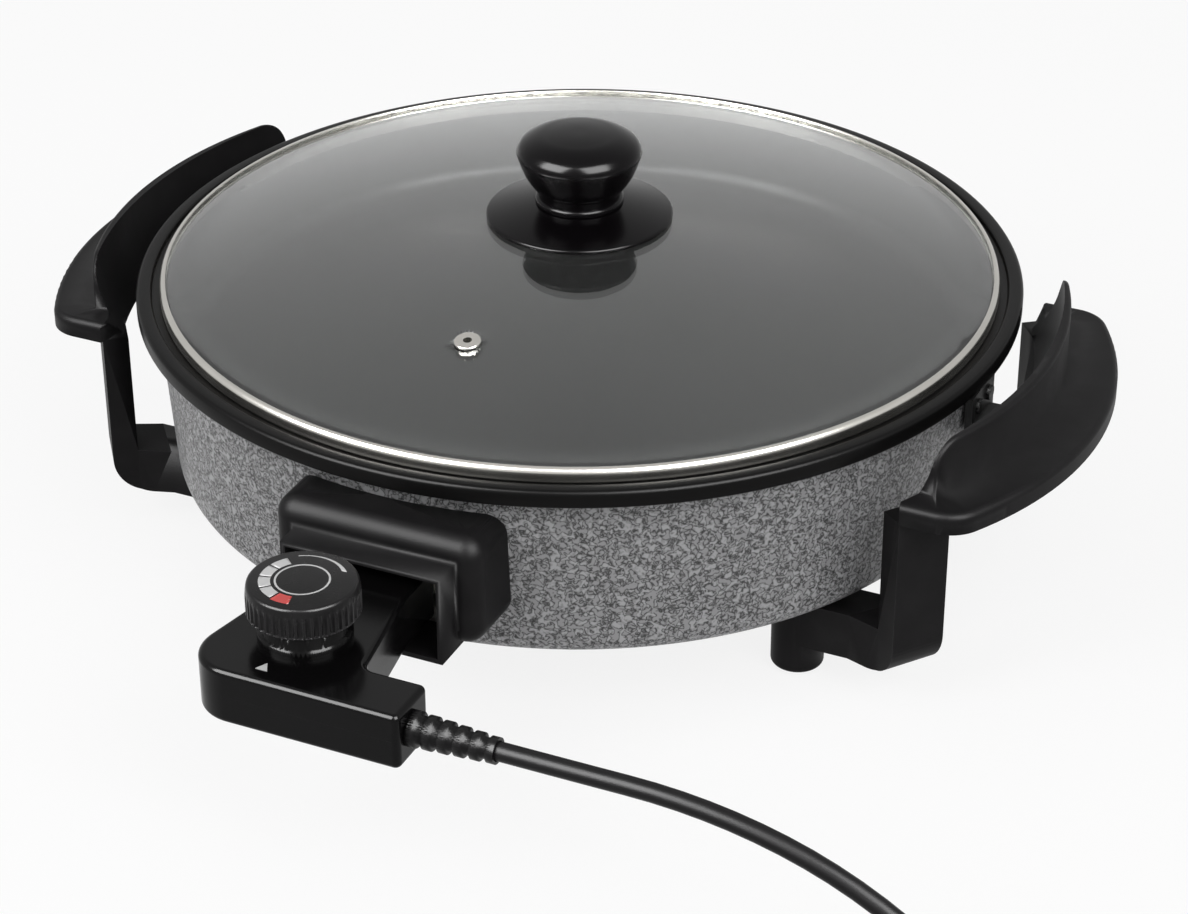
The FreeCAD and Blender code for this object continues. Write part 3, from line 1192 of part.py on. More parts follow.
# Inside the control: thermostat, its bush, contact sleeves, probe and cord anchor
BASE_FLOOR = "(control_low + control_wall)"
thermostat = body("thermostat_block")
pad(thermostat, outline(sketch(thermostat, "thermostat_outline", lift=BASE_FLOOR), [
    (LEFT_OF_SOCKET + "block_half", "-sleeve_back"),
    (LEFT_OF_SOCKET + "block_half", "-block_front"),
    (RIGHT_OF_SOCKET + "block_half", "-block_front"),
    (RIGHT_OF_SOCKET + "block_half", "-sleeve_back"),
]), "block_high", "thermostat_pad")
BLOCK_TOP = "(%s + block_high)" % BASE_FLOOR
turned("thermostat_bush", [
    ("spindle_dia / 2 + seat_play", BLOCK_TOP),
    ("spindle_dia", BLOCK_TOP),
    ("spindle_dia", "control_high - control_wall - 0.5"),
    ("spindle_dia / 2 + seat_play", "control_high - control_wall - 0.5"),
], x=PLUG_X, y=DIAL_Y)
sleeves = body("contact_sleeves")
sleeve_face = sketch(sleeves, "sleeve_face", "XZ_Plane", "neck_end")
for x in PIN_PLACES:
    ring(sleeve_face, x, "heater_height", "sleeve_dia")
    ring(sleeve_face, x, "heater_height", "sleeve_bore")
pad(sleeves, sleeve_face, "sleeve_back - neck_end", "sleeve_tubes")
joined("probe_rod", [rod("probe_bar", PLUG_X, "-sleeve_back", "heater_height", "probe_dia",
                         "sleeve_back - probe_end", (0, 1, 0))])
anchor = body("cord_anchor")
ANCHOR_END = RIGHT_OF_SOCKET + "control_right - 5.5"
pad(anchor, outline(sketch(anchor, "anchor_outline", lift=BASE_FLOOR), [
    (ANCHOR_END + " - 11", "-relief_place - 6"),
    (ANCHOR_END, "-relief_place - 6"),
    (ANCHOR_END, "-relief_place + 6"),
    (ANCHOR_END + " - 11", "-relief_place + 6"),
]), "control_split - %s + 6" % BASE_FLOOR, "anchor_pad")

# Stepped collar, dial with its knurled skirt, spindle and the pointer mark
turned("dial_collar", [
    ("spindle_dia / 2 + seat_play", "control_high"),
    ("collar_ring + collar_step", "control_high"),
    ("collar_ring + collar_step", "control_high + 3.5"),
    ("collar_ring", "control_high + 3.5"),
    ("collar_ring", "control_high + 7.5"),
    ("collar_ring - collar_step", "control_high + 7.5"),
    ("collar_ring - collar_step", "dial_low - seat_play"),
    ("spindle_dia / 2 + seat_play", "dial_low - seat_play"),
], x=PLUG_X, y=DIAL_Y)
dial = turned("dial", [
    ("0", "dial_low + 3"),
    ("spindle_dia / 2 + 0.1", "dial_low + 3"),
    ("spindle_dia / 2 + 0.1", "dial_low"),
    ("dial_radius", "dial_low"),
    ("dial_radius", "dial_low + dial_skirt"),
    ("dial_crown + 1", "dial_low + dial_skirt"),
    ("dial_crown", "dial_high"),
    ("0", "dial_high"),
], x=PLUG_X, y=DIAL_Y)
soften(dial, "1.4", lambda e: isinstance(e.Curve, Part.Circle)
       and abs(e.Curve.Center.z - val("dial_high")) < 0.05, "dial_crown_edge")
soften(dial, "0.8", lambda e: isinstance(e.Curve, Part.Circle)
       and abs(e.Curve.Radius - val("dial_radius")) < 0.05, "dial_skirt_edges")
flute = sketch(dial, "knurl_flute", lift="dial_low")
ring(flute, "dial_radius + 0.5", "0", "2.2")
pocket(dial, flute, "dial_skirt", "knurl_flute_cut", back=False)
knurl = dial.newObject("PartDesign::PolarPattern", "knurl")
knurl.Originals = [dial.Tip]
knurl.Axis = (flute, ["N_Axis"])
knurl.Angle = 360
knurl.setExpression("Occurrences", bind("knurl_count"))
dial.Tip = knurl
doc.recompute()
joined("dial_spindle", [rod("spindle_bar", PLUG_X, DIAL_Y, BLOCK_TOP + " + seat_play", "spindle_dia",
                            "dial_low + 3 - %s - seat_play" % BLOCK_TOP)])
mark = body("pointer_mark", PLUG_X + " - 3", "-control_front + 10")
pad(mark, outline(sketch(mark, "mark_face", lift="control_high"), [
    ("-3.4", "-3"),
    ("3.4", "-3"),
    ("0", "3.4"),
]), "0.3", "mark_pad")

# Ribbed strain relief round the cord
relief = body("strain_relief")
relief_section = sketch(relief, "relief_section", "XZ_Plane", "relief_place")
relief_section.setExpression(".AttachmentOffset.Base.x", bind(RIGHT_OF_SOCKET + "control_right"))
relief_section.setExpression(".AttachmentOffset.Base.y", bind("control_split"))
RELIEF_LONG = "relief_long"
RIB_STEP = "%s / (2 * relief_ribs + 1)" % RELIEF_LONG
relief_corners = [
    ("-5", "cord_dia / 2 + seat_play"),
    (RELIEF_LONG, "cord_dia / 2 + seat_play"),
]
ribs = int(val("relief_ribs"))
for k in range(2 * ribs, -1, -1):
    grow = "(relief_tip / 2 + (relief_dia - relief_tip) / 2 * (1 - %d / (2 * relief_ribs)))" % k
    rise = grow if k % 2 == 0 else grow + " - 1.3"
    relief_corners.append(("%s * %d" % (RIB_STEP, k + 1), rise))
    relief_corners.append(("%s * %d" % (RIB_STEP, k) if k else "0", rise))
relief_corners += [
    ("0", "relief_tip / 2"),
    ("-control_wall", "relief_tip / 2"),
    ("-control_wall", "relief_dia / 2 - 0.5"),
    ("-5", "relief_dia / 2 - 0.5"),
]
relief_turn = relief.newObject("PartDesign::Revolution", "relief_turn")
relief_turn.Profile = outline(relief_section, relief_corners)
relief_turn.ReferenceAxis = (relief_section, ["H_Axis"])
relief_turn.Angle = 360
doc.recompute()

# Cord, its put-away coil and the tail to the plug: straight runs joined by tangent arcs
level_z = val("cord_level")
start = V(val(ANCHOR_END), -val("relief_place"), val("control_split"))
coil_top = V(start.x + 343, start.y - 14, level_z)
COIL_STEP = val("coil_pitch")
coil_r = val("coil_outer")
straight = val("cord_dia")
LEAD = [
    start,
    start + V(64, 0, 0),
    start + V(132, 0, 0.5),
    start + V(195, -2, -16),
    start + V(251, -7, -52),
    V(start.x + 290, start.y - 14, level_z),
    coil_top - V(straight, 0, 0),
]


def rounded_path(points):
    """Straight runs joined by tangent arcs that use most of the shorter run."""
    edges = []
    last = points[0]
    for before, corner, after in zip(points, points[1:], points[2:]):
        come = corner - before
        leave = after - corner
        reach = 0.45 * min(come.Length, leave.Length)
        come.normalize()
        leave.normalize()
        enter = corner - come * reach
        exit_point = corner + leave * reach
        half = come.getAngle(leave) / 2
        radius = reach / math.tan(half)
        inward = leave - come
        inward.normalize()
        middle = corner + inward * (radius / math.cos(half) - radius)
        edges.append(Part.LineSegment(last, enter).toShape())
        edges.append(Part.Arc(enter, middle, exit_point).toShape())
        last = exit_point
    edges.append(Part.LineSegment(last, points[-1]).toShape())
    return Part.Wire(edges)


def swept(label, path):
    """Cord along a path, with its volume compared to section times length."""
    shape = tube(path, val("cord_dia"))
    wanted = math.pi * (val("cord_dia") / 2) ** 2 * path.Length
    if abs(shape.Volume - wanted) > 0.01 * wanted:
        raise RuntimeError("%s has volume %.0f instead of %.0f" % (label, shape.Volume, wanted))
    print(label, "length", round(path.Length))
    return feature(label, shape)


def biarc(p0, t0, p1, t1):
    """Two tangent arcs between two points with given directions."""
    gap = p1 - p0
    both = t0 + t1
    spread = 2 * (1 - t0.dot(t1))
    along = gap.dot(both)
    if spread < 1e-9:
        reach = gap.dot(gap) / (4 * gap.dot(t0))
    else:
        reach = (-along + math.sqrt(along ** 2 + spread * gap.dot(gap))) / spread
    joint = ((p0 + t0 * reach) + (p1 - t1 * reach)) / 2
    arcs = []
    for a, b, ta in ((p0, joint, t0), (joint, p1, (p1 - t1 * reach - joint))):
        ta = V(ta)
        ta.normalize()
        chord = b - a
        side = chord - ta * chord.dot(ta)
        if side.Length < 1e-6:
            arcs.append(Part.LineSegment(a, b).toShape())
            continue
        half = ta.getAngle(chord)
        side.normalize()
        radius = chord.Length / (2 * math.sin(half))
        centre = a + side * radius
        back = (a + b) / 2 - centre
        back.normalize()
        arcs.append(Part.Arc(a, centre + back * radius, b).toShape())
    return arcs


def coil_path():
    """Two turns inward, a climbing half turn, two turns outward on the layer above."""
    turns = int(val("coil_loops"))
    edges = [Part.LineSegment(coil_top - V(straight, 0, 0), coil_top).toShape()]
    here = V(coil_top)
    radius = coil_r
    way = -1
    for k in range(turns):
        far = here + V(0, way * 2 * radius, 0)
        edges.append(Part.Arc(here, here + V(-way * radius, way * radius, 0), far).toShape())
        here = far
        way = -way
        radius -= COIL_STEP / 2
    centre = here + V(0, way * radius, 0)
    steps = 4
    points = []
    heads = []
    for k in range(steps + 1):
        part = k / steps
        angle = -way * math.pi / 2 + way * math.pi * part
        spot = centre + V(math.cos(angle) * radius * (1 if way < 0 else -1), math.sin(angle) * radius, 0)
        lift = COIL_STEP * (3 * part ** 2 - 2 * part ** 3)
        slope = COIL_STEP * (6 * part - 6 * part ** 2)
        head = V(-math.sin(angle) * radius * math.pi * way * (1 if way < 0 else -1),
                 math.cos(angle) * radius * math.pi * way, slope)
        head.normalize()
        points.append(spot + V(0, 0, lift))
        heads.append(head)
    for k in range(steps):
        edges += biarc(points[k], heads[k], points[k + 1], heads[k + 1])
    here = points[-1]
    way = -way
    for k in range(turns):
        radius += COIL_STEP / 2
        far = here + V(0, way * 2 * radius, 0)
        edges.append(Part.Arc(here, here + V(-way * radius, way * radius, 0), far).toShape())
        here = far
        way = -way
    end = here - V(straight, 0, 0)
    edges.append(Part.LineSegment(here, end).toShape())
    return Part.Wire(edges), end


swept("power_cord", rounded_path(LEAD))
loops, coil_end = coil_path()
swept("cord_coil", loops)
PLUG_Z = val("plug_dia") / 2
TAIL = [
    coil_end,
    coil_end + V(-36, 0, 0),
    V(coil_end.x - 74, coil_end.y, PLUG_Z),
    V(coil_end.x - 110, coil_end.y, PLUG_Z),
]
swept("cord_tail", rounded_path(TAIL))

# Mains plug: round body with a grip and two pins
PLUG_START = TAIL[-1].x + 10
plug_body_section = [
    V(PLUG_START, 0, val("cord_dia") / 2 + 0.3),
    V(PLUG_START, 0, val("plug_neck") / 2 - 1.5),
    V(PLUG_START - 3, 0, val("plug_neck") / 2),
    V(PLUG_START - val("plug_neck_long"), 0, val("plug_neck") / 2 + 1.5),
    V(PLUG_START - val("plug_neck_long") - 5, 0, val("plug_dia") / 2),
    V(PLUG_START - val("plug_neck_long") - val("plug_long"), 0, val("plug_dia") / 2),
    V(PLUG_START - val("plug_neck_long") - val("plug_long"), 0, 0),
    V(TAIL[-1].x, 0, 0),
    V(TAIL[-1].x, 0, val("cord_dia") / 2 + 0.3),
]
plug_face = Part.Face(Part.makePolygon(plug_body_section + plug_body_section[:1]))
plug_shape = plug_face.revolve(V(0, 0, 0), V(1, 0, 0), 360)
plug_shape.translate(V(0, coil_end.y, PLUG_Z))
feature("plug_body", plug_shape)
PLUG_FRONT = PLUG_START - val("plug_neck_long") - val("plug_long")
pins = []
for side in (-1, 1):
    pin = Part.makeCylinder(val("plug_pin_dia") / 2, val("plug_pin_long"),
                            V(PLUG_FRONT, coil_end.y + side * val("plug_pin_spread") / 2, PLUG_Z), V(-1, 0, 0))
    pins.append(pin)
feature("plug_pins", Part.makeCompound(pins))

doc.recompute()
for item in PARTS:
    if item.Shape.isNull() or not item.Shape.isValid():
        raise RuntimeError(item.Label + " has no valid shape")
    box = item.Shape.BoundBox
    print("%-22s solids %d vol %.0f z %.1f..%.1f" % (
        item.Label, len(item.Shape.Solids), item.Shape.Volume, box.ZMin, box.ZMax))
for thing in doc.Objects:
    if "Invalid" in thing.State or "Error" in thing.State:
        raise RuntimeError("%s is %s" % (thing.Name, thing.State))
os.makedirs("parts", exist_ok=True)
for item in PARTS:
    item.Shape.exportStep("parts/%s.step" % item.Label)
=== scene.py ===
import math

import bmesh
import bpy
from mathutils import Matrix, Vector


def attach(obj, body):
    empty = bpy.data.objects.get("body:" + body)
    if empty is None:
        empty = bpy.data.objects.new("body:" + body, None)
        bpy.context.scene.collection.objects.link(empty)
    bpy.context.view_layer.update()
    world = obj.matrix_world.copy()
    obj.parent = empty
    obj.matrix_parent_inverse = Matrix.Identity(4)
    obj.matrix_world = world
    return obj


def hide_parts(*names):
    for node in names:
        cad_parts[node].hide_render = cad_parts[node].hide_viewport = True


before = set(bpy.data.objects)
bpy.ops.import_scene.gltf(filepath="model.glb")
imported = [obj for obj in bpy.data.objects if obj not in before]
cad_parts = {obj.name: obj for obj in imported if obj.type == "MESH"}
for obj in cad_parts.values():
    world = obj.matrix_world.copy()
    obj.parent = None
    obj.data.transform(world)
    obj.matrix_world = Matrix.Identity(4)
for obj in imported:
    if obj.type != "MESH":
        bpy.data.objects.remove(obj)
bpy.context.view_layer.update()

# Studio: camera at the photograph's angle, a white floor and two soft lamps
# in front. The pan's axis stands a little behind the origin, because the heat
# control reaches out in front.
AXIS = 0.0535
bpy.ops.object.select_all(action="DESELECT")
bpy.ops.object.camera_add(
    location=(0.55795, -1.14302, 0.7996),
    rotation=(math.radians(59.6968), math.radians(0.1416), math.radians(24.6428)),
)
camera = bpy.context.object
camera.name = "studio_camera"
camera.data.lens = 96.3
camera.data.sensor_width = 36
camera.data.clip_end = 50
scene = bpy.context.scene
scene.camera = camera
scene.view_settings.view_transform = "Standard"


def looked_at(tree):
    """Value that is 1 for what the camera, a reflection or the glass looks at."""
    path = tree.nodes.new("ShaderNodeLightPath")
    first = tree.nodes.new("ShaderNodeMath")
    first.operation = "MAXIMUM"
    second = tree.nodes.new("ShaderNodeMath")
    second.operation = "MAXIMUM"
    tree.links.new(path.outputs["Is Camera Ray"], first.inputs[0])
    tree.links.new(path.outputs["Is Glossy Ray"], first.inputs[1])
    tree.links.new(first.outputs[0], second.inputs[0])
    tree.links.new(path.outputs["Is Transmission Ray"], second.inputs[1])
    return second.outputs[0]


world = bpy.data.worlds.new("studio_air")
scene.world = world
world.use_nodes = True
air = world.node_tree
air_light = air.nodes["Background"]
air_light.inputs["Color"].default_value = (1, 1, 1, 1)
air_level = air.nodes.new("ShaderNodeMapRange")
air_level.inputs["To Min"].default_value = 0.5
air_level.inputs["To Max"].default_value = 1.0
air.links.new(looked_at(air), air_level.inputs["Value"])
air.links.new(air_level.outputs["Result"], air_light.inputs["Strength"])

FLOOR_SIZE = 14
FLOOR_DROP = 0.0004
bpy.ops.mesh.primitive_plane_add(size=FLOOR_SIZE, location=(0, 0, -FLOOR_DROP))
floor = bpy.context.object
floor.name = "studio_floor"
bpy.ops.object.transform_apply(location=True, rotation=True, scale=True)
floor_paper = bpy.data.materials.new("white_paper")
floor_paper.use_nodes = True
paper = floor_paper.node_tree
paper_shader = paper.nodes["Principled BSDF"]
paper_shader.inputs["Base Color"].default_value = (0.9, 0.9, 0.9, 1)
paper_shader.inputs["Roughness"].default_value = 0.9
paper_shader.inputs["Specular IOR Level"].default_value = 0.1
paper_glow = paper.nodes.new("ShaderNodeEmission")
paper_glow.inputs["Color"].default_value = (1, 1, 1, 1)
paper_mix = paper.nodes.new("ShaderNodeMixShader")
paper_level = paper.nodes.new("ShaderNodeMath")
paper_level.operation = "MULTIPLY"
paper_level.inputs[1].default_value = 0.86
paper.links.new(looked_at(paper), paper_level.inputs[0])
paper.links.new(paper_level.outputs[0], paper_mix.inputs["Fac"])
paper.links.new(paper_shader.outputs["BSDF"], paper_mix.inputs[1])
paper.links.new(paper_glow.outputs["Emission"], paper_mix.inputs[2])
paper.links.new(paper_mix.outputs["Shader"], paper.nodes["Material Output"].inputs["Surface"])
floor.data.materials.append(floor_paper)

# Each lamp is a pair: one lights the surfaces, and a larger and stronger one in
# front of it shows in reflections alone.
LAMPS = (
    ("left", (-0.75, -1.35, 1.35), 13),
    ("right", (1.35, -0.75, 1.35), 11),
)
LAMP_USES = (
    ("light", 1.0, 1.3, 1.15),
    ("sheen", 1.5, 22, 1),
)
LAMP_AIM = Vector((0, AXIS, 0.08))
for side, place, power in LAMPS:
    for use, wide, strength, away in LAMP_USES:
        bpy.ops.object.light_add(type="AREA", location=Vector(place) * away)
        lamp = bpy.context.object
        lamp.name = "soft_" + use + "_" + side
        lamp.data.size = wide
        lamp.data.energy = power * strength
        lamp.visible_diffuse = use == "light"
        lamp.visible_glossy = use == "sheen"
        toward = LAMP_AIM - Vector(place)
        lamp.rotation_euler = toward.to_track_quat("-Z", "Y").to_euler()

# Supply cord: an 8 mm rubber-sheathed lead. It leaves the control to the right,
# falls to the table and lies put away in a neat coil, which ends in the plug.
CORD_RADIUS = 0.004
TABLE_LEVEL = 0.004
COIL_PITCH = 0.0086
COIL_RADIUS = 0.052
COIL_X = 0.404
COIL_TOP = -0.2605
HALF_LOOPS = 9
CLIMBING_HALF = 4
LOOP_POINTS = 8
cord_points = [
    (0.061, -0.2465, 0.081),
    (0.125, -0.2465, 0.081),
    (0.193, -0.2465, 0.0815),
    (0.256, -0.2485, 0.065),
    (0.312, -0.2535, 0.029),
    (0.351, -0.2605, TABLE_LEVEL),
    (0.396, COIL_TOP, TABLE_LEVEL),
]
loop_y = COIL_TOP
loop_radius = COIL_RADIUS
loop_way = -1
for half in range(HALF_LOOPS):
    middle_y = loop_y + loop_way * loop_radius
    for count in range(LOOP_POINTS):
        part = (count + 0.5) / LOOP_POINTS
        angle = math.pi * part
        reach = loop_radius / math.cos(math.pi / LOOP_POINTS / 2)
        rise = 0 if half < CLIMBING_HALF else COIL_PITCH
        if half == CLIMBING_HALF:
            rise = COIL_PITCH * (3 * part ** 2 - 2 * part ** 3)
        cord_points.append((
            COIL_X - loop_way * reach * math.sin(angle),
            middle_y - loop_way * reach * math.cos(angle),
            TABLE_LEVEL + rise,
        ))
    loop_y += loop_way * 2 * loop_radius
    loop_way = -loop_way
    loop_radius += COIL_PITCH / 2 if half >= CLIMBING_HALF else -COIL_PITCH / 2
TAIL_Y = loop_y
PLUG_LEVEL = 0.0185
cord_points += [
    (0.396, TAIL_Y, TABLE_LEVEL + COIL_PITCH),
    (0.36, TAIL_Y, TABLE_LEVEL + COIL_PITCH),
    (0.322, TAIL_Y, PLUG_LEVEL),
    (0.286, TAIL_Y, PLUG_LEVEL),
]
cord_line = bpy.data.curves.new("supply_cord", "CURVE")
cord_line.dimensions = "3D"
cord_run = cord_line.splines.new("NURBS")
cord_run.points.add(len(cord_points) - 1)
for point, place in zip(cord_run.points, cord_points):
    point.co = (*place, 1)
cord_run.order_u = 3
cord_run.use_endpoint_u = True
cord_run.resolution_u = 6
cord_line.bevel_depth = CORD_RADIUS
cord_line.bevel_resolution = 5
cord_line.use_fill_caps = True
cord = bpy.data.objects.new("supply_cord", cord_line)
scene.collection.objects.link(cord)


def surface_grain():
    """Node group: uneven roughness and a fine bump, as moulded or painted surfaces have."""
    group = bpy.data.node_groups.new("surface_grain", "ShaderNodeTree")
    inputs = (
        ("Roughness", 0.4),
        ("Unevenness", 0.1),
        ("Grain Scale", 900.0),
        ("Grain Depth", 0.1),
    )
    for title, start in inputs:
        socket = group.interface.new_socket(title, in_out="INPUT", socket_type="NodeSocketFloat")
        socket.default_value = start
    group.interface.new_socket("Roughness", in_out="OUTPUT", socket_type="NodeSocketFloat")
    group.interface.new_socket("Normal", in_out="OUTPUT", socket_type="NodeSocketVector")
    enter = group.nodes.new("NodeGroupInput")
    leave = group.nodes.new("NodeGroupOutput")
    place = group.nodes.new("ShaderNodeTexCoord")
    broad = group.nodes.new("ShaderNodeTexNoise")
    broad.inputs["Scale"].default_value = 38
    broad.inputs["Detail"].default_value = 4
    centred = group.nodes.new("ShaderNodeMath")
    centred.operation = "SUBTRACT"
    centred.inputs[1].default_value = 0.5
    swing = group.nodes.new("ShaderNodeMath")
    swing.operation = "MULTIPLY_ADD"
    fine = group.nodes.new("ShaderNodeTexNoise")
    fine.inputs["Detail"].default_value = 3
    bump = group.nodes.new("ShaderNodeBump")
    bump.inputs["Distance"].default_value = 0.0004
    link = group.links.new
    link(place.outputs["Object"], broad.inputs["Vector"])
    link(place.outputs["Object"], fine.inputs["Vector"])
    link(enter.outputs["Grain Scale"], fine.inputs["Scale"])
    link(broad.outputs["Fac"], centred.inputs[0])
    link(centred.outputs[0], swing.inputs[0])
    link(enter.outputs["Unevenness"], swing.inputs[1])
    link(enter.outputs["Roughness"], swing.inputs[2])
    link(swing.outputs[0], leave.inputs["Roughness"])
    link(enter.outputs["Grain Depth"], bump.inputs["Strength"])
    link(fine.outputs["Fac"], bump.inputs["Height"])
    link(bump.outputs["Normal"], leave.inputs["Normal"])
    return group


def rubbed_edges():
    """Node group: a colour that turns paler along sharp edges and in faint smudges."""
    group = bpy.data.node_groups.new("rubbed_edges", "ShaderNodeTree")
    for title in ("Color", "Worn Color"):
        group.interface.new_socket(title, in_out="INPUT", socket_type="NodeSocketColor")
    for title, start in (("Edge", 0.5), ("Smudge", 0.1)):
        socket = group.interface.new_socket(title, in_out="INPUT", socket_type="NodeSocketFloat")
        socket.default_value = start
    group.interface.new_socket("Color", in_out="OUTPUT", socket_type="NodeSocketColor")
    enter = group.nodes.new("NodeGroupInput")
    leave = group.nodes.new("NodeGroupOutput")
    place = group.nodes.new("ShaderNodeTexCoord")
    facing = group.nodes.new("ShaderNodeNewGeometry")
    rounded_off = group.nodes.new("ShaderNodeBevel")
    rounded_off.samples = 4
    rounded_off.inputs["Radius"].default_value = 0.0009
    apart = group.nodes.new("ShaderNodeVectorMath")
    apart.operation = "DISTANCE"
    edge = group.nodes.new("ShaderNodeMath")
    edge.operation = "MULTIPLY"
    cloud = group.nodes.new("ShaderNodeTexNoise")
    cloud.inputs["Scale"].default_value = 55
    cloud.inputs["Detail"].default_value = 2
    patch = group.nodes.new("ShaderNodeMapRange")
    patch.interpolation_type = "SMOOTHSTEP"
    patch.inputs["From Min"].default_value = 0.3
    patch.inputs["From Max"].default_value = 0.85
    smudge = group.nodes.new("ShaderNodeMath")
    smudge.operation = "MULTIPLY_ADD"
    smudge.use_clamp = True
    blend = group.nodes.new("ShaderNodeMix")
    blend.data_type = "RGBA"
    link = group.links.new
    link(facing.outputs["Normal"], apart.inputs[0])
    link(rounded_off.outputs["Normal"], apart.inputs[1])
    link(apart.outputs["Value"], edge.inputs[0])
    link(enter.outputs["Edge"], edge.inputs[1])
    link(place.outputs["Object"], cloud.inputs["Vector"])
    link(cloud.outputs["Fac"], patch.inputs["Value"])
    link(patch.outputs["Result"], smudge.inputs[0])
    link(enter.outputs["Smudge"], smudge.inputs[1])
    link(edge.outputs[0], smudge.inputs[2])
    link(smudge.outputs[0], blend.inputs["Factor"])
    link(enter.outputs["Color"], blend.inputs["A"])
    link(enter.outputs["Worn Color"], blend.inputs["B"])
    link(blend.outputs["Result"], leave.inputs["Color"])
    return group


GRAIN = surface_grain()
RUBBED = rubbed_edges()
PALEST = 0.9


def finish(
    name, colour, roughness, unevenness=0.1, scale=900, depth=0.1,
    metallic=0.0, specular=0.5, paler=2.5, edge=0.35, smudge=0.12,
):
    """A moulded, painted or metal surface with grain, smudges and rubbed edges."""
    made = bpy.data.materials.new(name)
    made.use_nodes = True
    tree = made.node_tree
    shader = tree.nodes["Principled BSDF"]
    shader.inputs["Metallic"].default_value = metallic
    shader.inputs["Specular IOR Level"].default_value = specular
    rubbed = tree.nodes.new("ShaderNodeGroup")
    rubbed.node_tree = RUBBED
    rubbed.inputs["Color"].default_value = (*colour, 1)
    worn = [min(PALEST, part * paler) for part in colour]
    rubbed.inputs["Worn Color"].default_value = (*worn, 1)
    rubbed.inputs["Edge"].default_value = edge
    rubbed.inputs["Smudge"].default_value = smudge
    grain = tree.nodes.new("ShaderNodeGroup")
    grain.node_tree = GRAIN
    grain.inputs["Roughness"].default_value = roughness
    grain.inputs["Unevenness"].default_value = unevenness
    grain.inputs["Grain Scale"].default_value = scale
    grain.inputs["Grain Depth"].default_value = depth
    tree.links.new(rubbed.outputs["Color"], shader.inputs["Base Color"])
    tree.links.new(grain.outputs["Roughness"], shader.inputs["Roughness"])
    tree.links.new(grain.outputs["Normal"], shader.inputs["Normal"])
    return made


cord_sheath = finish(
    "cord_sheath", (0.007, 0.0065, 0.007),
    roughness=0.38, unevenness=0.12, scale=1400, depth=0.1,
    specular=0.1,
)
cord_line.materials.append(cord_sheath)
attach(cord, "control")
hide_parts("power_cord", "cord_coil", "cord_tail")

# Distances in metres under which two places count as one, and the steps and
# the weight that turned pieces and merged copies share
SAME_PLACE = 0.000001
CORNER_REACH = 0.000005
MESH_WELD = 0.00002
ROUNDING_STEPS = 4
FINE_TURNS = 192
EVEN_WEIGHT = 90


def drawn(name, places):
    """A line drawn from place to place, left in edit mode."""
    bpy.ops.object.select_all(action="DESELECT")
    bpy.ops.mesh.primitive_plane_add(size=0.001, location=places[0])
    piece = bpy.context.object
    piece.name = name
    bpy.ops.object.mode_set(mode="EDIT")
    bpy.ops.mesh.merge(type="CENTER")
    for before, after in zip(places, places[1:]):
        shift = Vector(after) - Vector(before)
        bpy.ops.mesh.extrude_region_move(TRANSFORM_OT_translate={"value": shift})
    return piece


def picked(piece, wanted):
    """Select the places of the piece in edit mode that wanted accepts."""
    mesh = bmesh.from_edit_mesh(piece.data)
    bpy.ops.mesh.select_all(action="DESELECT")
    for vert in mesh.verts:
        vert.select = wanted(vert.co + piece.location)
    mesh.select_flush_mode()
    bmesh.update_edit_mesh(piece.data)


def turned(name, corners, centre, turns=128, angle=math.tau, start=0, smooth=35):
    """A piece turned on a lathe. corners holds radius, height and rounding of each corner."""
    axis = Vector((0, 0, 1))
    out = Vector((math.cos(math.radians(start)), math.sin(math.radians(start)), 0))
    places = [Vector(centre) + axis * along + out * radius for radius, along, _ in corners]
    piece = drawn(name, places if corners[0][0] == corners[-1][0] == 0 else places + places[:1])
    bpy.ops.mesh.select_all(action="SELECT")
    bpy.ops.mesh.remove_doubles(threshold=SAME_PLACE)
    for place, (_, _, rounding) in zip(places, corners):
        if rounding:
            picked(piece, lambda spot, corner=place: (spot - corner).length < CORNER_REACH)
            bpy.ops.mesh.bevel(offset=rounding, segments=ROUNDING_STEPS, affect="VERTICES")
    bpy.ops.mesh.select_all(action="SELECT")
    bpy.ops.mesh.spin(steps=turns, angle=angle, center=centre, axis=axis)
    bpy.ops.mesh.select_all(action="SELECT")
    bpy.ops.mesh.remove_doubles(threshold=SAME_PLACE)
    bpy.ops.mesh.normals_make_consistent(inside=False)
    bpy.ops.object.mode_set(mode="OBJECT")
    bpy.ops.object.transform_apply(location=True, rotation=True, scale=True)
    bpy.ops.object.shade_smooth_by_angle(angle=math.radians(smooth))
    return piece


def shown(piece, body, slot, material, *nodes):
    """Give the piece its finish and let it stand for CAD nodes on a body."""
    piece.data.materials.clear()
    piece.data.materials.append(material)
    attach(piece, body)
    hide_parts(*nodes)
    return piece


def taken_over(node, body, slot, material, angle=30):
    """A merged copy of a CAD node, smooth over its rounded edges, that shows in its place."""
    bpy.ops.object.select_all(action="DESELECT")
    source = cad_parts[node]
    source.select_set(True)
    bpy.context.view_layer.objects.active = source
    bpy.ops.object.duplicate()
    piece = bpy.context.object
    piece.name = node + "_shown"
    bpy.ops.object.mode_set(mode="EDIT")
    bpy.ops.mesh.select_all(action="SELECT")
    bpy.ops.mesh.remove_doubles(threshold=MESH_WELD)
    bpy.ops.object.mode_set(mode="OBJECT")
    bpy.ops.object.shade_smooth_by_angle(angle=math.radians(angle))
    bpy.ops.object.modifier_add(type="WEIGHTED_NORMAL")
    even = piece.modifiers[-1]
    even.weight = EVEN_WEIGHT
    even.keep_sharp = True
    bpy.ops.object.modifier_apply(modifier=even.name)
    return shown(piece, body, slot, material, node)


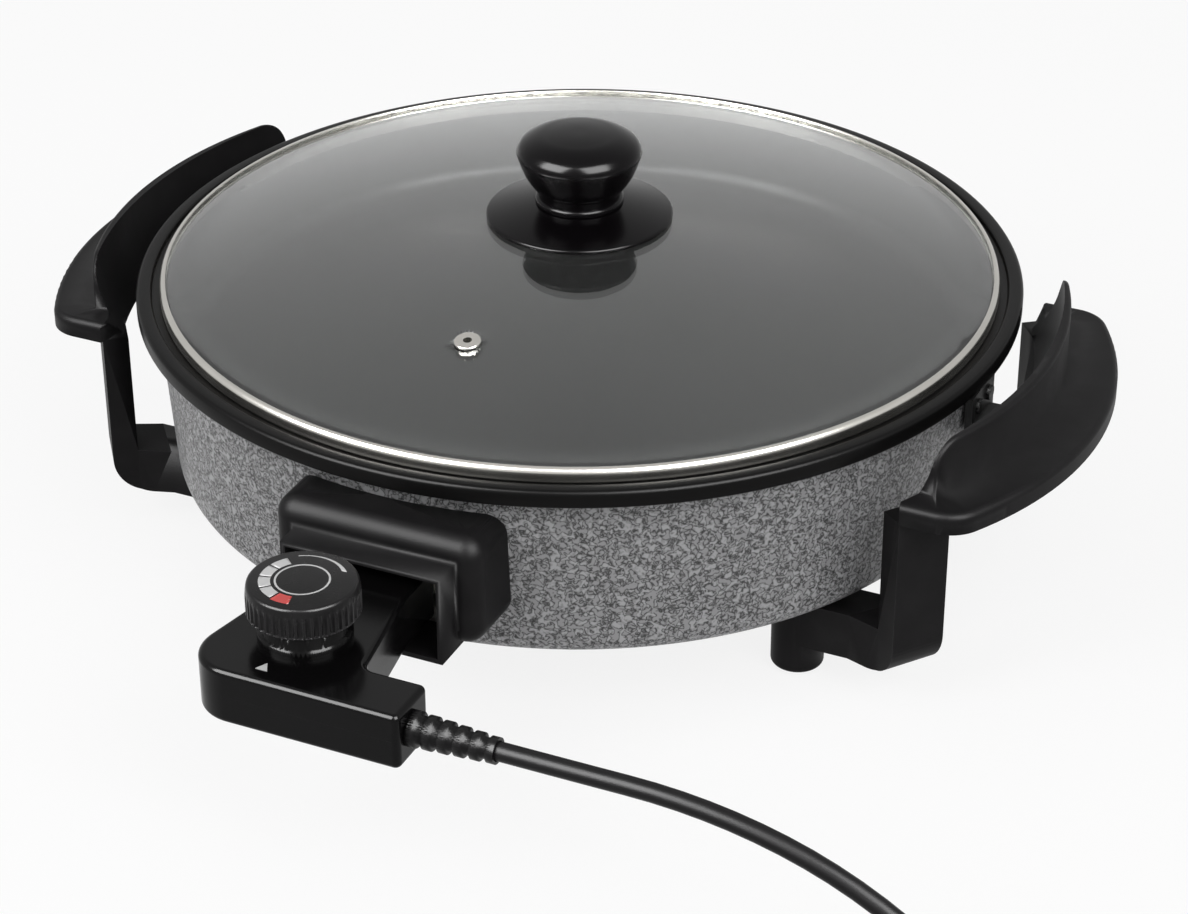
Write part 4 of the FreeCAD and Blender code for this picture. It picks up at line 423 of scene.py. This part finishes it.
# Mains plug, at the far end of the cord: a moulded round body with a grip and
# two plated pins, of no particular make.
moulding_gloss = finish(
    "control_moulding", (0.003, 0.0028, 0.003),
    roughness=0.17, unevenness=0.07, scale=420, depth=0.03,
    specular=0.1,
)
pin_plating = finish(
    "pin_plating", (0.6, 0.6, 0.58),
    roughness=0.25, unevenness=0.1, scale=700, depth=0.05,
    metallic=1.0, paler=1.3,
)
plug = taken_over("plug_body", "control", "control_black", moulding_gloss)
plug_pins = taken_over("plug_pins", "control", "plated_steel", pin_plating)

# Cooking pan: pressed aluminium, turned here as one skin, with a black
# non-stick coating and a rolled rim whose ledge carries the lid.
coating = finish(
    "pan_coating", (0.0052, 0.005, 0.005),
    roughness=0.3, unevenness=0.1, scale=1600, depth=0.1,
    specular=0.05, smudge=0.03,
)
PAN_WALL = 0.0025
PAN_FLOOR = 0.089
PAN_UNDER = 0.0865
FLOOR_RADIUS = 0.187
PAN_BORE = 0.192
LEDGE = 0.1285
LEDGE_UNDER = 0.126
LEDGE_RADIUS = 0.198
STEP_OUT = 0.2005
RIM_IN = 0.2025
RIM_RADIUS = 0.205
RIM_LOW = 0.123
RIM_TOP = 0.131
pan = turned("pan_skin", [
    (0, PAN_UNDER, 0),
    (FLOOR_RADIUS + PAN_WALL, PAN_UNDER, 0.009),
    (PAN_BORE + PAN_WALL, LEDGE_UNDER, 0.002),
    (STEP_OUT, LEDGE_UNDER, 0.0008),
    (STEP_OUT, LEDGE, 0.0008),
    (RIM_IN, LEDGE, 0.0008),
    (RIM_IN, RIM_LOW, 0.0005),
    (RIM_RADIUS, RIM_LOW, 0.0009),
    (RIM_RADIUS, RIM_TOP, 0.002),
    (LEDGE_RADIUS, RIM_TOP, 0.0012),
    (LEDGE_RADIUS, LEDGE, 0.0006),
    (PAN_BORE, LEDGE, 0.0014),
    (FLOOR_RADIUS, PAN_FLOOR, 0.008),
    (0, PAN_FLOOR, 0),
], (0, AXIS, 0), turns=FINE_TURNS)
shown(pan, "skillet", "pan_coating", coating, "cooking_pan")

# Outer shell: pressed steel, sprayed with grey hammertone paint, whose dark
# veins wind all over it.
hammertone = bpy.data.materials.new("hammertone_paint")
hammertone.use_nodes = True
paint = hammertone.node_tree
paint_shader = paint.nodes["Principled BSDF"]
paint_place = paint.nodes.new("ShaderNodeTexCoord")
paint_veins = paint.nodes.new("ShaderNodeTexNoise")
paint_veins.inputs["Scale"].default_value = 400
paint_veins.inputs["Detail"].default_value = 1.5
paint_veins.inputs["Roughness"].default_value = 0.5
paint_veins.inputs["Distortion"].default_value = 0.5
paint_broad = paint.nodes.new("ShaderNodeTexNoise")
paint_broad.inputs["Scale"].default_value = 45
paint_tone = paint.nodes.new("ShaderNodeMath")
paint_tone.operation = "MULTIPLY_ADD"
paint_tone.inputs[1].default_value = 0.06
paint_ramp = paint.nodes.new("ShaderNodeValToRGB")
PAINT_TONES = ((0.43, 0.25), (0.52, 0.005), (0.58, 0.2), (0.68, 0.33))
PAINT_BLUE = 1.02
for number, (place, tone) in enumerate(PAINT_TONES):
    if number > 1:
        paint_ramp.color_ramp.elements.new(place)
    paint_ramp.color_ramp.elements[number].position = place
    paint_ramp.color_ramp.elements[number].color = (tone, tone, tone * PAINT_BLUE, 1)
paint_bump = paint.nodes.new("ShaderNodeBump")
paint_bump.inputs["Strength"].default_value = 0.4
paint_bump.inputs["Distance"].default_value = 0.0005
paint.links.new(paint_place.outputs["Object"], paint_veins.inputs["Vector"])
paint.links.new(paint_place.outputs["Object"], paint_broad.inputs["Vector"])
paint.links.new(paint_broad.outputs["Fac"], paint_tone.inputs[0])
paint.links.new(paint_veins.outputs["Fac"], paint_tone.inputs[2])
paint.links.new(paint_tone.outputs[0], paint_ramp.inputs["Fac"])
paint.links.new(paint_ramp.outputs["Color"], paint_shader.inputs["Base Color"])
paint.links.new(paint_veins.outputs["Fac"], paint_bump.inputs["Height"])
paint.links.new(paint_bump.outputs["Normal"], paint_shader.inputs["Normal"])
paint_shader.inputs["Roughness"].default_value = 0.45
paint_shader.inputs["Specular IOR Level"].default_value = 0.3
taken_over("outer_shell", "skillet", "hammertone", hammertone)

# Handles: one black phenolic moulding on each side, with a shelf to grip, a
# guard that keeps fingers off the pan, and two legs with feet. The socket
# shroud on the front is of the same material.
phenolic = finish(
    "black_phenolic", (0.0068, 0.0064, 0.0068),
    roughness=0.45, unevenness=0.1, scale=1500, depth=0.12,
    specular=0.055, paler=5,
)
for side in ("left", "right"):
    taken_over("handle_" + side, "skillet", "phenolic_black", phenolic)
taken_over("socket_shroud", "skillet", "phenolic_black", phenolic)

# Small parts of the base: plated screws, rivets, nuts and brackets, the
# sheathed element in its cast plate, ceramic bushes, a brass earth strip and
# rubber pads under the feet.
zinc = finish(
    "zinc_plating", (0.5, 0.5, 0.48),
    roughness=0.35, unevenness=0.2, scale=500, depth=0.1,
    metallic=1.0, paler=1.4,
)
# Near-black, non-metallic steel for the handle brackets and their rivets.
near_black_finish = finish(
    "near_black_steel", (0.012, 0.012, 0.012),
    roughness=0.45, unevenness=0.1, scale=700, depth=0.1,
    specular=0.2,
)
sheath = finish(
    "element_sheath", (0.16, 0.13, 0.11),
    roughness=0.45, unevenness=0.2, scale=400, depth=0.2,
    metallic=1.0,
)
casting = finish(
    "cast_aluminium", (0.5, 0.5, 0.51),
    roughness=0.5, unevenness=0.2, scale=300, depth=0.4,
    metallic=1.0, paler=1.3,
)
ceramic = finish(
    "bush_ceramic", (0.72, 0.69, 0.62),
    roughness=0.6, unevenness=0.1, scale=600, depth=0.1,
    paler=1.15,
)
soft_rubber = finish(
    "foot_rubber", (0.012, 0.012, 0.012),
    roughness=0.7, unevenness=0.1, scale=900, depth=0.2,
    specular=0.3,
)
brass = finish(
    "contact_brass", (0.6, 0.42, 0.16),
    roughness=0.3, unevenness=0.15, scale=600, depth=0.05,
    metallic=1.0, paler=1.3,
)
for node in (
    "tie_bolt", "spacer_tube", "terminal_pins", "terminal_plate", "probe_guide", "shroud_screws",
    "foot_screws_left", "foot_screws_right", "weld_nuts_left", "weld_nuts_right",
    "bracket_screws_left", "bracket_screws_right",
):
    taken_over(node, "skillet", "plated_steel", zinc)
taken_over("heating_element", "skillet", "element_sheath", sheath)
taken_over("spreader_plate", "skillet", "cast_aluminium", casting)
for side in ("left", "right"):
    taken_over("ceramic_bush_" + side, "skillet", "ceramic_white", ceramic)
    taken_over("foot_pads_" + side, "skillet", "rubber_black", soft_rubber)
    taken_over("handle_bracket_" + side, "skillet", "plated_steel", near_black_finish)
    taken_over("bracket_rivets_" + side, "skillet", "plated_steel", near_black_finish)
taken_over("earth_strip", "skillet", "contact_brass", brass)

# Lid glass: a clear tempered dome, pressed, with a hole for the knob's screw
# and one for the steam vent.
clear_glass = bpy.data.materials.new("lid_glass")
clear_glass.use_nodes = True
glass = clear_glass.node_tree
glass_shader = glass.nodes["Principled BSDF"]
glass_shader.inputs["Base Color"].default_value = (0.93, 0.95, 0.945, 1)
glass_shader.inputs["Roughness"].default_value = 0.0
glass_shader.inputs["IOR"].default_value = 1.4
glass_shader.inputs["Transmission Weight"].default_value = 1.0
glass_clear = glass.nodes.new("ShaderNodeBsdfTransparent")
glass_path = glass.nodes.new("ShaderNodeLightPath")
glass_open = glass.nodes.new("ShaderNodeMath")
glass_open.operation = "MAXIMUM"
glass_mix = glass.nodes.new("ShaderNodeMixShader")
glass_place = glass.nodes.new("ShaderNodeTexCoord")
glass_wave = glass.nodes.new("ShaderNodeTexNoise")
glass_wave.inputs["Scale"].default_value = 14
glass_bump = glass.nodes.new("ShaderNodeBump")
glass_bump.inputs["Strength"].default_value = 0.02
glass_bump.inputs["Distance"].default_value = 0.001
glass.links.new(glass_place.outputs["Object"], glass_wave.inputs["Vector"])
glass.links.new(glass_wave.outputs["Fac"], glass_bump.inputs["Height"])
glass.links.new(glass_bump.outputs["Normal"], glass_shader.inputs["Normal"])
glass.links.new(glass_path.outputs["Is Shadow Ray"], glass_open.inputs[0])
glass.links.new(glass_path.outputs["Is Diffuse Ray"], glass_open.inputs[1])
glass.links.new(glass_open.outputs[0], glass_mix.inputs["Fac"])
glass.links.new(glass_shader.outputs["BSDF"], glass_mix.inputs[1])
glass.links.new(glass_clear.outputs["BSDF"], glass_mix.inputs[2])
glass.links.new(glass_mix.outputs["Shader"], glass.nodes["Material Output"].inputs["Surface"])
taken_over("lid_glass", "lid", "clear_glass", clear_glass)

# Lid band and steam vent: polished steel, rolled round the glass and turned.
band_steel = finish(
    "band_steel", (0.38, 0.37, 0.345),
    roughness=0.24, unevenness=0.1, scale=500, depth=0.05,
    metallic=1.0, paler=1.5,
)
BAND_OUT = 0.194
BAND_IN = 0.1932
BAND_TOP = 0.1348
SKIRT_OUT = 0.1904
SKIRT_IN = 0.1896
SKIRT_LOW = 0.1225
SEAT_TOP = 0.1293
band = turned("lid_band_ring", [
    (SKIRT_IN, SKIRT_LOW, 0),
    (SKIRT_OUT, SKIRT_LOW, 0),
    (SKIRT_OUT, LEDGE, 0.0006),
    (BAND_OUT, LEDGE, 0.001),
    (BAND_OUT, BAND_TOP, 0.0018),
    (0.1913, 0.1354, 0.0004),
    (0.1911, 0.1346, 0),
    (BAND_IN, 0.134, 0.001),
    (BAND_IN, SEAT_TOP, 0.0006),
    (SKIRT_IN, SEAT_TOP, 0.0004),
], (0, AXIS, 0), turns=FINE_TURNS)
shown(band, "lid", "polished_steel", band_steel, "lid_band")
taken_over("vent_eyelet", "lid", "polished_steel", band_steel)
silicone = finish(
    "washer_silicone", (0.3, 0.3, 0.3),
    roughness=0.6, unevenness=0.1, scale=700, depth=0.1,
)
for node in ("seal_washer_top", "seal_washer_under"):
    taken_over(node, "lid", "silicone_grey", silicone)
taken_over("lid_screw", "lid", "plated_steel", zinc)

# Lid knob on its guard disc: compression-moulded phenolic, polished, with a
# line where the two halves of the mould met at the widest part.
knob_gloss = finish(
    "knob_phenolic", (0.0025, 0.002, 0.0025),
    roughness=0.2, unevenness=0.06, scale=400, depth=0.03,
    specular=0.09,
)
GLASS_TOP = 0.159
GUARD_TOP = GLASS_TOP + 0.006
GUARD_RADIUS = 0.043
KNOB_TOP = GLASS_TOP + 0.0404
SCREW_TOP = GLASS_TOP + 0.022
SCREW_HOLE = 0.0028
FOOT_RADIUS = 0.0204
NECK_RADIUS = 0.0193
ARC_STEPS = 10


def arched(start, end, radius):
    """Corners on an arc from start to end that bulges to the right of that way."""
    first = Vector(start[:2])
    last = Vector(end[:2])
    half = (last - first).length / 2
    left = Vector((first.y - last.y, last.x - first.x)).normalized()
    middle = (first + last) / 2 + left * math.sqrt(radius ** 2 - half ** 2)
    sweep = 2 * math.asin(half / radius)
    arm = first - middle
    between = []
    for number in range(1, ARC_STEPS):
        turn = sweep * number / ARC_STEPS
        between.append((
            middle.x + arm.x * math.cos(turn) - arm.y * math.sin(turn),
            middle.y + arm.x * math.sin(turn) + arm.y * math.cos(turn),
            0,
        ))
    return between


guard = turned("guard_disc", [
    (SCREW_HOLE, GLASS_TOP + 0.0015, 0),
    (0.012, GLASS_TOP + 0.0015, 0.001),
    (0.041, GLASS_TOP - 0.001, 0.0005),
    (GUARD_RADIUS, GLASS_TOP - 0.001, 0.0005),
    (GUARD_RADIUS, GLASS_TOP + 0.0008, 0.0009),
    (0.0202, GUARD_TOP, 0.0015),
    (SCREW_HOLE, GUARD_TOP, 0),
], (0, AXIS, 0))
shown(guard, "lid", "knob_black", knob_gloss, "knob_guard")
knob_under = (0.0285, GLASS_TOP + 0.0294, 0)
knob_wide = (0.0288, GLASS_TOP + 0.0302, 0)
knob_shoulder = (0.0258, GLASS_TOP + 0.0356, 0)
knob_crown = (0.0155, GLASS_TOP + 0.0394, 0)
knob_top = (0.002, KNOB_TOP, 0)
knob = turned("knob_body", [
    (SCREW_HOLE, GUARD_TOP, 0),
    (FOOT_RADIUS, GUARD_TOP, 0.0006),
    (FOOT_RADIUS, GLASS_TOP + 0.0086, 0.0009),
    (NECK_RADIUS, GLASS_TOP + 0.0092, 0),
    (NECK_RADIUS, GLASS_TOP + 0.0122, 0.0026),
    (0.0247, GLASS_TOP + 0.0182, 0.006),
    knob_under,
    (0.0282, GLASS_TOP + 0.0297, 0),
    knob_wide,
    *arched(knob_wide, knob_shoulder, 0.0075),
    knob_shoulder,
    *arched(knob_shoulder, knob_crown, 0.022),
    knob_crown,
    *arched(knob_crown, knob_top, 0.09),
    knob_top,
    (0, KNOB_TOP, 0),
    (0, SCREW_TOP, 0),
    (SCREW_HOLE, SCREW_TOP, 0),
], (0, AXIS, 0))
shown(knob, "lid", "knob_black", knob_gloss, "lid_knob")

# Heat control: a glossy black housing in two halves with a stepped collar, a
# pointer mark and a ribbed strain relief, and its parts inside.
for node in ("control_top_shell", "control_base_shell"):
    taken_over(node, "control", "control_black", moulding_gloss)
dial_satin = finish(
    "dial_moulding", (0.006, 0.0057, 0.006),
    roughness=0.28, unevenness=0.1, scale=900, depth=0.08,
    specular=0.12, paler=9, edge=0.6,
)
taken_over("dial_collar", "control", "dial_black", moulding_gloss)
white_mark = finish(
    "mark_print", (0.5, 0.5, 0.5),
    roughness=0.5, unevenness=0.1, scale=900, depth=0.05,
    paler=1.2,
)
pointer = taken_over("pointer_mark", "control", "mark_white", white_mark)
POINTER_SHARE = 0.78
pointer_places = [vert.co for vert in pointer.data.vertices]
pointer_middle = sum(pointer_places, Vector()) / len(pointer_places)
bpy.ops.object.mode_set(mode="EDIT")
bpy.ops.mesh.select_all(action="SELECT")
bpy.ops.transform.resize(value=(POINTER_SHARE, POINTER_SHARE, 1), center_override=pointer_middle)
bpy.ops.object.mode_set(mode="OBJECT")
relief_rubber = finish(
    "relief_rubber", (0.005, 0.0047, 0.005),
    roughness=0.3, unevenness=0.1, scale=900, depth=0.1,
    specular=0.12,
)
taken_over("strain_relief", "control", "rubber_black", relief_rubber)
brown_moulding = finish(
    "brown_moulding", (0.09, 0.05, 0.03),
    roughness=0.5, unevenness=0.1, scale=700, depth=0.1,
)
for node in ("thermostat_block", "cord_anchor"):
    taken_over(node, "control", "inner_moulding", brown_moulding)
for node in ("thermostat_bush", "contact_sleeves"):
    taken_over(node, "control", "contact_brass", brass)
for node in ("control_screws", "probe_rod"):
    taken_over(node, "control", "plated_steel", zinc)
taken_over("dial_spindle", "dial", "contact_brass", brass)

# Dial: a moulded knob with a knurled side, turned and then grooved. Its heat
# scale is printed on top: a ring, four grey fields, a red one and a wedge.
DIAL_X = 0.005
DIAL_Y = AXIS - 0.274
DIAL_LOW = 0.1047
DIAL_TOP = 0.1185
DIAL_RADIUS = 0.0234
DIAL_SMOOTH = 28
SPINDLE_HOLE = 0.0031
COLUMNS = 176
COLUMNS_PER_GROOVE = 4
GROOVE_COLUMNS = 2
GROOVE_SHARE = 0.963
GROOVE_LOW = DIAL_LOW + 0.0006
GROOVE_HIGH = DIAL_LOW + 0.008
GROOVED_OVER = 0.023
dial = turned("dial_body", [
    (0, DIAL_LOW + 0.003, 0),
    (SPINDLE_HOLE, DIAL_LOW + 0.003, 0),
    (SPINDLE_HOLE, DIAL_LOW, 0),
    (DIAL_RADIUS, DIAL_LOW, 0.0005),
    (DIAL_RADIUS, DIAL_LOW + 0.0008, 0),
    (DIAL_RADIUS, DIAL_LOW + 0.0075, 0),
    (0.0232, DIAL_LOW + 0.0102, 0),
    (0.0226, DIAL_TOP, 0.0013),
    (0, DIAL_TOP, 0),
], (DIAL_X, DIAL_Y, 0), turns=COLUMNS, smooth=DIAL_SMOOTH)


def grooved(spot):
    """True in the grooves of the dial's knurl, two columns out of four."""
    across = spot - Vector((DIAL_X, DIAL_Y, spot.z))
    column = round(math.atan2(across.y, across.x) / math.tau * COLUMNS) % COLUMNS_PER_GROOVE
    outside = across.length > GROOVED_OVER
    return column < GROOVE_COLUMNS and outside and GROOVE_LOW < spot.z < GROOVE_HIGH


bpy.ops.object.mode_set(mode="EDIT")
picked(dial, grooved)
bpy.ops.transform.resize(
    value=(GROOVE_SHARE, GROOVE_SHARE, 1),
    center_override=(DIAL_X, DIAL_Y, DIAL_LOW),
)
bpy.ops.object.mode_set(mode="OBJECT")
bpy.ops.object.shade_smooth_by_angle(angle=math.radians(DIAL_SMOOTH))
shown(dial, "dial", "dial_black", dial_satin, "dial")
red_mark = finish(
    "red_print", (0.5, 0.02, 0.015),
    roughness=0.4, unevenness=0.1, scale=900, depth=0.05,
)
PRINT_LOW = DIAL_TOP - 0.0001
PRINT_HIGH = DIAL_TOP + 0.00006
FULL_TURN = 360
FEWEST_STEPS = 6
STEP_DEGREES = 4
WEDGE_SHIFT = 0.0015
INNER_REACH = 0.0001


def printed(name, near, far, start, sweep, material):
    """A printed field of the dial's scale, between two radii and two directions."""
    steps = max(FEWEST_STEPS, round(sweep / STEP_DEGREES))
    mark = turned(name, [
        (near, PRINT_LOW, 0),
        (far, PRINT_LOW, 0),
        (far, PRINT_HIGH, 0),
        (near, PRINT_HIGH, 0),
    ], (DIAL_X, DIAL_Y, 0), turns=steps, angle=-math.radians(sweep), start=start)
    bpy.ops.object.mode_set(mode="EDIT")
    if sweep < FULL_TURN:
        bpy.ops.mesh.select_all(action="SELECT")
        bpy.ops.mesh.fill_holes(sides=4)
        bpy.ops.mesh.normals_make_consistent(inside=False)
    if name == "scale_wedge":
        picked(mark, lambda spot: math.dist(spot.xy, (DIAL_X, DIAL_Y)) < near + INNER_REACH)
        thin_end = math.radians(start + sweep)
        shift = Vector((math.cos(thin_end), math.sin(thin_end), 0)) * WEDGE_SHIFT
        bpy.ops.transform.translate(value=shift)
    bpy.ops.object.mode_set(mode="OBJECT")
    mark.data.materials.append(material)
    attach(mark, "dial")


FIELD_START = 139
FIELD_STEP = 29
FIELD_SWEEP = 26
printed("scale_ring", near=0.0106, far=0.0114, start=0, sweep=FULL_TURN, material=white_mark)
for number in range(4):
    printed(
        "scale_field_%d" % number,
        near=0.0129, far=0.0177, start=FIELD_START + number * FIELD_STEP, sweep=FIELD_SWEEP,
        material=white_mark,
    )
printed(
    "scale_red",
    near=0.0128, far=0.0184, start=255, sweep=FIELD_SWEEP, material=red_mark,
)
printed("scale_wedge", near=0.0163, far=0.0182, start=42, sweep=82, material=white_mark)

bpy.ops.object.select_all(action="DESELECT")
